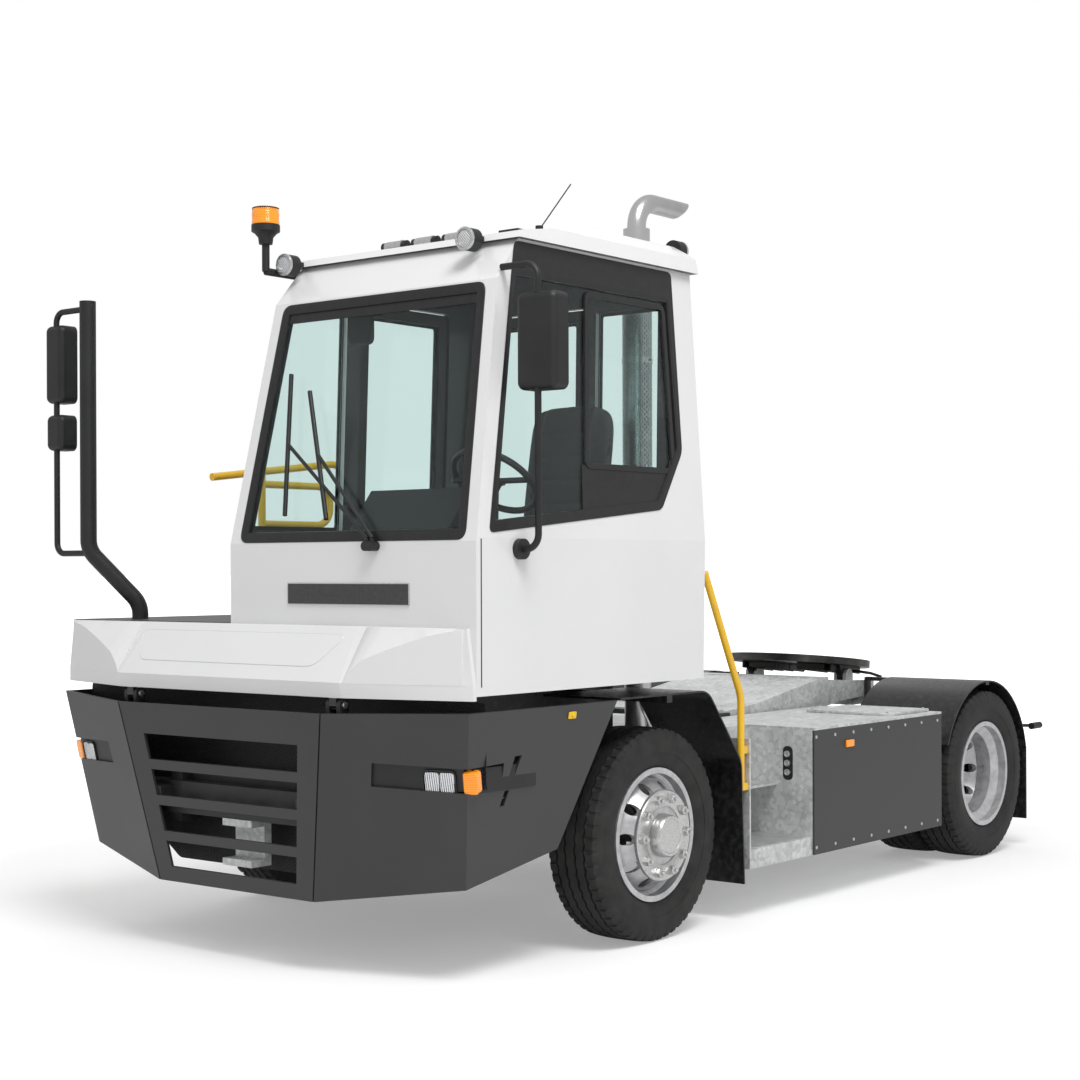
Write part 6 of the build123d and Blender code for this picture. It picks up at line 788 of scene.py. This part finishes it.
# The lens is coloured dark and light over its prism facets: painted glints.
facets_and_glints = (prism[1] * 520.0).sine() * (prism[2] * 520.0).sine()
clear_lens.tint(facets_and_glints * 0.5 + 0.5, (0.2, (0.30, 0.31, 0.33)), (0.8, (0.85, 0.86, 0.88)))
clear_lens.relief(facets_and_glints, 0.002)
LENS_PROFILE = [(0, 0), (0, 0.038), (0.003, 0.037), (0.006, 0.026), (0.008, 0.012), (0.008, 0)]
RIM_PROFILE = [
    (-0.006, 0.0480), (0.003, 0.0490), (0.007, 0.0470), (0.007, 0.0385), (0.000, 0.0375), (0, 0.0)
]
lamp_places = [
    ((2.295, -0.085, 3.020), FORWARD),
    ((2.295, 0.975, 3.020), FORWARD),
    ((0.810, 1.020, 3.150), (-1, 0, 0)),
]
for name, profile, finish, slot in (
    ("lenses", LENS_PROFILE, clear_lens, "lamp"),
    ("rims", RIM_PROFILE, bright_steel, "chrome"),
):
    lamps = [lathe(profile, place, axis, 32) for place, axis in lamp_places]
    piece(f"roof_lamp_{name}", lamps, finish, "cab", slot)

BEACON = (2.345, -0.150)
DOME_PROFILE = [
    (3.196, 0), (3.196, 0.0605), (3.204, 0.0625), (3.212, 0.0605), (3.232, 0.0605), (3.240, 0.0620)
]
DOME_PROFILE += [(3.248, 0.0602), (3.264, 0.0600), (3.272, 0.0560), (3.276, 0.0420), (3.277, 0.0)]
piece("beacon_dome", [lathe(DOME_PROFILE, (*BEACON, 0.0), UP, 48)], amber, "cab", "lamp")
FOOT_PROFILE = [(3.110, 0), (3.110, 0.030), (3.140, 0.034), (3.158, 0.050)]
FOOT_PROFILE += [(3.166, 0.0635), (3.195, 0.0635), (3.198, 0.0)]
beacon_foot = lathe(FOOT_PROFILE, (*BEACON, 0.0), UP, 40)
piece("beacon_foot", [beacon_foot], black_plastic, "cab", "black_plastic")

HORN_Z = 3.178
SLEEVE_PROFILE = [(-0.055, 0), (-0.055, 0.0245), (-0.040, 0.0252), (0.030, 0.0252)]
SLEEVE_PROFILE += [(0.036, 0.0262), (0.050, 0.0262), (0.052, 0)]
horns = [lathe(SLEEVE_PROFILE, (1.64, y, HORN_Z), LEFT, 32) for y in (-0.02, 0.17, 0.36)]
piece("horn_sleeves", horns, bright_steel, "cab", "chrome")

# Wipers and mirrors: arms and textured shells moulded in black plastic, clipped on,
# with silvered glass on the faces towards the driver.
coat(black_plastic, "wipers", "left_mirror", "right_mirror")
mirror_silver = mottled(
    "mirror_silver", (3.0,), (0.80, 0.82, 0.83), (0.86, 0.88, 0.89), Metallic=1.0, Roughness=0.02
)
for name, y, z, width, height, rear_x in (
    ("left", 1.350, 2.575, 0.164, 0.354, 2.2137),
    ("right_tall", -1.3845, 2.645, 0.097, 0.334, 2.4687),
    ("right_small", -1.3845, 2.320, 0.088, 0.136, 2.4687),
):
    backward = flat((rear_x, y, z), (0, -1, 0), UP)
    pane = plate(oblong(width, height, 0.015), backward, 0.003, 0.001)
    piece(f"mirror_glass_{name}", [pane], mirror_silver, "cab", "chrome")

# Driver's seat: foam cushions under woven cloth, drawn tight over the edges, with
# channels sewn across and along both sides. Here a slightly small pad is blown up as
# cloth, no corner further than the cap, and the seams are sunk in it afterwards.
seat_cloth = Finish("seat_cloth", Roughness=0.92, Sheen_Weight=0.25)
weave_x, weave_y, weave_z = seat_cloth.axes()
weave = (weave_y * 2600.0).sine() * ((weave_x + weave_z) * 2600.0).sine()
seat_cloth.tint(weave * 0.5 + 0.5, (0.2, (0.010, 0.010, 0.012)), (0.9, (0.030, 0.031, 0.035)))
seat_cloth.relief(weave, 0.0006)
coat(black_plastic, "seat_base", "dashboard", "steering_wheel")


PAD_VOXEL = 0.0065
PAD_PRESSURE = 4.0
PAD_FRAMES = 20
PAD_CAP = 0.008
SEAM_DEPTH = 0.007
SEAM_WIDTH = 0.010
SEAM_SIDE = 0.30
BACK_CHANNELS = (-0.22, -0.11, 0.0, 0.11, 0.22)
BACK_TILT = math.pi / 2 + math.atan2(0.13, 0.8047)


def cushion(place, axes, size):
    """A crowned pad: a superellipse ring by height, pulled in at its waist."""
    length, width, thick = size
    rise = np.linspace(-np.pi / 2, np.pi / 2, 29)[:, None]
    turn = np.linspace(0, 2 * np.pi, 97)[None, :-1]
    waist = 1 - 0.030 * np.cos(rise) ** 6 * np.abs(np.sin(2 * turn)) ** 0.5
    ring = np.abs(np.cos(rise)) ** 0.34 * waist
    a = np.sign(np.cos(turn)) * np.abs(np.cos(turn)) ** 0.30 * ring * length / 2
    b = np.sign(np.sin(turn)) * np.abs(np.sin(turn)) ** 0.30 * ring * width / 2
    crown = 1 + 0.16 * np.cos(np.pi * a / length) * np.cos(np.pi * b / width) * (rise > 0)
    h = np.sign(np.sin(rise)) * np.abs(np.sin(rise)) ** 0.42 * thick / 2 * crown / 1.16
    return place + np.stack([a, b, h], axis=-1) @ axes, False, True


def corners_of(mesh):
    """The corners of a mesh as rows of x, y and z."""
    rows = np.empty(len(mesh.vertices) * 3)
    mesh.vertices.foreach_get("co", rows)
    return rows.reshape(-1, 3)


def present(thing):
    """A new mesh of a thing as its modifiers leave it at this frame."""
    bpy.context.view_layer.update()
    return bpy.data.meshes.new_from_object(thing.evaluated_get(bpy.context.evaluated_depsgraph_get()))


def upholster(pad, place, axes, size, channels):
    """Blows a pad up as cloth under a cap, then sinks the sewn channels in its top."""
    voxels = pad.modifiers.new("voxels", "REMESH")
    voxels.mode = "VOXEL"
    voxels.voxel_size = PAD_VOXEL
    pad.data = present(pad)
    pad.modifiers.clear()
    slack = corners_of(pad.data)
    tight = slack
    cloth = pad.modifiers.new("cloth", "CLOTH")
    cloth.settings.use_pressure = True
    cloth.settings.uniform_pressure_force = PAD_PRESSURE
    cloth.settings.effector_weights.gravity = 0.0
    for frame_number in range(1, PAD_FRAMES + 1):
        bpy.context.scene.frame_set(frame_number)
    tight = corners_of(present(pad))
    pad.modifiers.clear()
    bpy.context.scene.frame_set(1)
    move = tight - slack
    reach = np.linalg.norm(move, axis=1, keepdims=True)
    blown = slack + move * np.minimum(1.0, PAD_CAP / np.maximum(reach, 1e-9))
    a, b, h = ((blown - place) @ axes.T).T
    top = np.clip(h / (0.15 * size[2]), 0.0, 1.0)
    rim = size[1] * SEAM_SIDE
    seam = sum(np.exp(-(((a - centre) / SEAM_WIDTH) ** 2)) for centre in channels)
    seam = seam * (np.abs(b) < rim)
    seam += sum(np.exp(-(((b - side * rim) / SEAM_WIDTH) ** 2)) for side in (1, -1))
    blown = blown - (SEAM_DEPTH * top * np.minimum(seam, 1.0))[:, None] * axes[2]
    pad.data.vertices.foreach_set("co", blown.ravel())
    pad.data.update()
    pad.data.shade_smooth()
    pad.data.materials.clear()
    pad.data.materials.append(seat_cloth.material)
    finer = pad.modifiers.new("finer", "SUBSURF")
    finer.levels = finer.render_levels = 1


for pad_name, place, tilt, facing, size, channels in (
    ("seat_cushion", (1.535, 0.72, 1.690), 0.0, 1, (0.485, 0.475, 0.128), (-0.14, -0.05, 0.04, 0.13)),
    ("seat_backrest", (1.288, 0.72, 2.060), BACK_TILT, -1, (0.735, 0.470, 0.134), BACK_CHANNELS),
):
    run, climb = math.cos(tilt), math.sin(tilt)
    axes = np.array([(run, 0, climb), LEFT, (-facing * climb, 0, facing * run)])
    surface = cushion(place, axes, [length - 1.5 * PAD_CAP for length in size])
    pad = piece(pad_name, [surface], seat_cloth, "cab", "seat_fabric", 60.0, "seat")
    upholster(pad, place, axes, size, channels)


def pipe(path, radius, count=10):
    """A round rod along a path: P + r (u cos t + v sin t), closed at both ends."""
    path = np.array(path, float)
    ahead = np.gradient(path, axis=0)
    ahead /= np.linalg.norm(ahead, axis=1)[:, None]
    side = np.cross(ahead[0], (0.31, 0.17, 0.93))
    rings = []
    for place, run in zip(path, ahead):
        side = side - run * (side @ run)
        side /= np.linalg.norm(side)
        turn = 2 * np.pi * np.arange(count)[:, None] / count
        rings.append(place + radius * (np.cos(turn) * side + np.sin(turn) * np.cross(run, side)))
    ends = [np.repeat(path[end][None], count, 0) for end in (0, -1)]
    return np.stack([ends[0], *rings, ends[1]]), False, True


# Dashboard fittings, all moulded in black plastic: a screen under dark glass, rows of
# rocker switches, the gear lever on its steel rod and the mirror inside the windscreen.
SCREEN_TINTS = (0.006, 0.008, 0.010), (0.020, 0.026, 0.030)
binnacle = mottled("instrument_glass", (18.0,), *SCREEN_TINTS, Roughness=0.08, Coat_Weight=1.0)
console = flat((2.20, 0.20, 1.760), FORWARD, LEFT)
screen_glass = plate(oblong(0.26, 0.10, 0.012, (0.0, 0.08)), console, 0.006)
piece("dash_screen", [screen_glass], binnacle, "cab", "black_plastic")
switches = [
    plate(oblong(0.022, 0.040, 0.004, (x, y)), console, 0.010, 0.003)
    for x in (-0.10, -0.04, 0.02)
    for y in (-0.20, -0.15, -0.10)
]
piece("dash_switches", switches, rubber_seal, "cab", "black_plastic")
KNOB_PROFILE = [(-0.026, 0), (-0.024, 0.010), (-0.012, 0.022), (0.004, 0.025)]
KNOB_PROFILE += [(0.018, 0.019), (0.025, 0.008), (0.026, 0)]
lever = [pipe([(1.95, 0.40, 1.757), (1.94, 0.40, 1.83), (1.91, 0.40, 1.90)], 0.009)]
lever.append(lathe(KNOB_PROFILE, (1.905, 0.40, 1.915), UP, 20))
piece("gear_lever", lever, black_plastic, "cab", "black_plastic")
inside_view = flat((2.080, 0.165, 2.745), (0, -1, 0), UP)
mirror_parts = [plate(oblong(0.150, 0.165, 0.035), inside_view, 0.030, 0.008)]
mirror_parts.append(pipe([(2.068, 0.165, 2.80), (2.062, 0.165, 2.90), (2.050, 0.165, 3.018)], 0.008))
piece("interior_mirror", mirror_parts, black_plastic, "cab", "black_plastic")

# Exhaust stack: bright stainless tube, with a punched heat shield round its upper run
# and clamp bands.
DRAWN_STREAKS = (4.0, 4.0, (1.0, 1.0, 0.2))
STEEL_TINTS = (0.50, 0.50, 0.51), (0.66, 0.66, 0.67)
stainless = mottled("stainless_tube", DRAWN_STREAKS, *STEEL_TINTS, Metallic=1.0, Roughness=0.28)
coat(stainless, "exhaust_stack")
STACK = (0.78, 0.75)
punched = Finish("punched_shield", Metallic=0.9, Roughness=0.35)
shield_x, shield_y, shield_z = punched.axes()
around = shield_y.maths("ARCTAN2", shield_y - STACK[1], shield_x - STACK[0])
holes = (around * 18.0).sine() * (shield_z * 260.0).sine()
punched.feed(
    Base_Color=punched.ramp(punched.noise(30.0), (0.3, (0.42, 0.42, 0.43)), (0.7, (0.58, 0.58, 0.58))),
    Alpha=holes < 0.35,
)
shield_wall = [(1.560, 0.0695), (1.562, 0.0715), (3.198, 0.0715), (3.200, 0.0695)]
points, _, wrap = lathe(shield_wall, (*STACK, 0.0), UP, 64)
piece("stack_shield", [(points, True, wrap)], punched, "root", "silver")
bands = []
for z in (1.56, 2.10, 2.66, 3.20):
    section = [(z - 0.014, 0.0700), (z - 0.014, 0.0735), (z + 0.014, 0.0735), (z + 0.014, 0.0700)]
    points, _, wrap = lathe(section, (*STACK, 0.0), UP, 48)
    bands += [(points, True, wrap), bolt((STACK[0], STACK[1] + 0.073, z), LEFT, 0.014, 0.012)]
piece("stack_bands", bands, bright_steel, "root", "chrome")

# Hand rails: steel tube bent cold, with welded feet that bolt on, under bright yellow
# gloss paint.
yellow_paint = mottled(
    "yellow_paint", (6.0,), (0.84, 0.47, 0.010), (0.90, 0.54, 0.015), Roughness=0.28, Coat_Weight=0.3
)
coat(yellow_paint, "left_handrail", "right_handrail")

# Mudguards: gloss black moulded sheet, spattered lighter by road grit. Flat liners of
# the same sheet close the front arches towards the frame.
guard_black = Finish("guard_black", Roughness=0.30)
spatter = guard_black.noise(35.0, 6.0)
guard_black.weather(spatter, 0.4, 0.14, (0.45, (0.010, 0.010, 0.0105)), (0.8, (0.035, 0.034, 0.032)))
guard_black.relief(spatter, 0.0004, 0.4)
coat(guard_black, "front_mudguards", "rear_mudguards")
LINER_Y = 0.66
for side, side_name in SIDES:
    inner_wall = flat((0.0, side * LINER_Y, 0.0), (side, 0, 0), UP)
    liner = rounded([(0.86, 0.865), (2.43, 0.865), (2.43, 1.130), (0.86, 1.130)], 0.02)
    liner = [(side * x, z) for x, z in liner]
    liner = plate(np.array(liner if side > 0 else liner[::-1]), inner_wall, 0.003, 0.001)
    piece(f"arch_liner_{side_name}", [liner], guard_black, "root", "black_plastic")

# Step wells, boxes, decks, lift boom and tow jaw: sheet steel dipped in zinc, with the
# spangle that the bath leaves. Raised lozenges cover the treads, screws hold the grey
# panels over the boxes, and markers and air and power sockets sit on the boxes.
zinc = Finish("galvanised_steel", Metallic=0.35, Roughness=0.5)
spangle = zinc.node(
    "ShaderNodeTexVoronoi", sockets={"Vector": zinc.place(), "Scale": 48.0}, output="Color"
)
cells = zinc.node("ShaderNodeSeparateColor", sockets={0: spangle})
tone = cells * 0.35 + zinc.noise(7.0, 6.0) * 0.65
zinc.weather(
    tone, 0.3, 0.32, (0.25, (0.44, 0.45, 0.45)), (0.55, (0.60, 0.61, 0.61)), (0.8, (0.74, 0.75, 0.75))
)
zinc.relief(tone, 0.0006, 0.4)
coat(zinc, "side_boxes", "step_wells", "deck_plates", "lift_boom", "tow_coupling")

tread_steel = Finish("tread_plate", Metallic=0.6, Roughness=0.42)
tread_x, tread_y, _ = tread_steel.axes()
lozenge = (
    ((tread_x + tread_y) * 130.0).sine() * ((tread_x - tread_y) * 130.0).sine() * 3.0 - 0.9
).clamp()
wear = tread_steel.noise(11.0, 5.0)
tread_steel.weather(wear, 0.25, 0.3, (0.3, (0.38, 0.39, 0.39)), (0.7, (0.58, 0.59, 0.59)))
tread_steel.relief(lozenge, 0.0030)
STEP_LOW, STEP_HIGH, DECK_TOP, BOX_SIDE = 0.330, 0.590, 0.870, 1.25
ground = flat((0.0, 0.0, 0.0), FORWARD, LEFT)
treads = [
    plate(oblong(0.54, depth, 0.006, (0.270, side * y)), ground, 0.003, 0.001, top)
    for side in (1, -1)
    for depth, y, top in ((0.345, 1.040, STEP_LOW), (0.150, 0.955, STEP_HIGH))
]
treads.append(plate(oblong(0.60, 1.10, 0.010, (0.22, 0.0)), ground, 0.003, 0.001, DECK_TOP))
piece("tread_plates", treads, tread_steel, "root", "galvanised")
cover = oblong(0.46, 0.52, 0.02, (-1.14, 0.93))
raised = [plate(cover * (1, side), ground, 0.016, 0.003, DECK_TOP) for side in (1, -1)]
piece("deck_covers", raised, zinc, "root", "galvanised")

SCREW_PROFILE = [(0, 0), (0, 0.009), (0.002, 0.0085), (0.004, 0.005), (0.004, 0)]
SCREW_PITCH = 0.1857
screws = []
for side in (1, -1):
    for x in np.arange(-1.34, 0.0, SCREW_PITCH):
        for z in (0.275, 0.825):
            screws.append(lathe(SCREW_PROFILE, (x, side * BOX_SIDE, z), (0, side, 0), 12))
    for x in (-1.345, -0.93):
        for y in (0.70, 1.16):
            screws.append(bolt((x, side * y, 0.886), UP, 0.016, 0.006))
piece("panel_screws", screws, bright_steel, "root", "silver")
markers = []
for side in (1, -1):
    box_side = flat((-0.366, side * BOX_SIDE, 0.771), (-side, 0, 0), UP)
    markers.append(plate(oblong(0.075, 0.036, 0.006), box_side, 0.012, 0.003))
piece("side_markers", markers, amber, "root", "lamp")
SOCKET_PROFILE = [(0, 0), (0, 0.016), (0.010, 0.016), (0.012, 0.012), (0.006, 0.010), (0.006, 0)]
SOCKET_Y, SOCKET_Z, SOCKET_PITCH = 1.1057, 0.690, 0.046
slot_face = flat((-0.0077, SOCKET_Y, SOCKET_Z), LEFT, UP)
slot_panel = plate(oblong(0.058, 0.170, 0.028), slot_face, 0.003)
piece("socket_panel", [slot_panel], rubber_seal, "root", "black_plastic")
sockets = [
    lathe(SOCKET_PROFILE, (-0.0047, SOCKET_Y, SOCKET_Z + step * SOCKET_PITCH), FORWARD, 20)
    for step in (-1, 0, 1)
]
piece("sockets", sockets, bright_steel, "root", "chrome")

# Fifth wheel: cast plate with black paint worn bright on its top by trailers, under a
# film of grease. Cast ribs stiffen it from below, and a bent rod opens its lock.
greased = Finish("greased_casting", Metallic=0.35, Roughness=0.35)
smear = greased.noise(9.0, 6.0, (1.0, 0.4, 1.0))
PAINT, GREASE, BARE = (0.010, 0.010, 0.010), (0.045, 0.044, 0.042), (0.13, 0.125, 0.12)
greased.weather(smear, 0.5, 0.12, (0.35, PAINT), (0.62, GREASE), (0.8, BARE))
greased.relief(smear, 0.0015, 0.5)
coat(greased, "fifth_wheel")
underside = flat((-2.0, 0.0, 1.0691), (0.9945, 0, 0.1045), LEFT)
ribs = [
    plate(oblong(0.35, 0.014, 0.004, (0.02, side * y)), underside, 0.041, 0.003, -0.040)
    for side in (1, -1)
    for y in (0.085, 0.160, 0.235, 0.310)
]
ribs += [
    plate(oblong(0.014, 0.190, 0.004, (x, side * 0.170)), underside, 0.037, 0.003, -0.036)
    for side in (1, -1)
    for x in (-0.15, 0.02, 0.19)
]
release = [(-2.03, 0.20, 1.040), (-2.03, 0.38, 1.036), (-2.04, 0.45, 1.028), (-2.10, 0.49, 1.005)]
ribs.append(pipe(release, 0.009))
piece("coupling_ribs", ribs, greased, "fifth_wheel", "black_steel")

# Rear lamps: one moulded black cluster on each bracket, with red, amber and clear
# lenses welded on in a row from the outer end.
coat(black_plastic, "tail_lamps")
red_lens = Finish("red_lens", Roughness=0.14, Coat_Weight=0.6)
# The lens is coloured lighter along its ribs: painted glints.
red_ribs_and_glints = (red_lens.axes()[2] * 800.0).sine() * 0.5 + 0.5
red_lens.tint(red_ribs_and_glints, (0.2, (0.30, 0.010, 0.008)), (0.9, (0.55, 0.022, 0.016)))
red_lens.relief(red_ribs_and_glints, 0.0008)
TAIL_PLACE = (-2.5753, 0.90, 0.625)
TAIL_LENGTH = 0.30
for name, finish, start, end in (
    ("red", red_lens, 0.05, 0.55),
    ("amber", amber, 0.57, 0.78),
    ("clear", clear_lens, 0.80, 0.95),
):
    lens = oblong(TAIL_LENGTH * (end - start), 0.100, 0.006, (TAIL_LENGTH / 2 * (1 - start - end), 0.0))
    lenses = []
    for side in (1, -1):
        place = (TAIL_PLACE[0], side * TAIL_PLACE[1], TAIL_PLACE[2])
        rearward = flat(place, (0, -side, 0), (0, 0, side))
        lenses.append(plate(lens, rearward, 0.010, 0.003))
    piece(f"tail_lens_{name}", lenses, finish, "root", "tail_lamp" if name == "red" else "lamp")
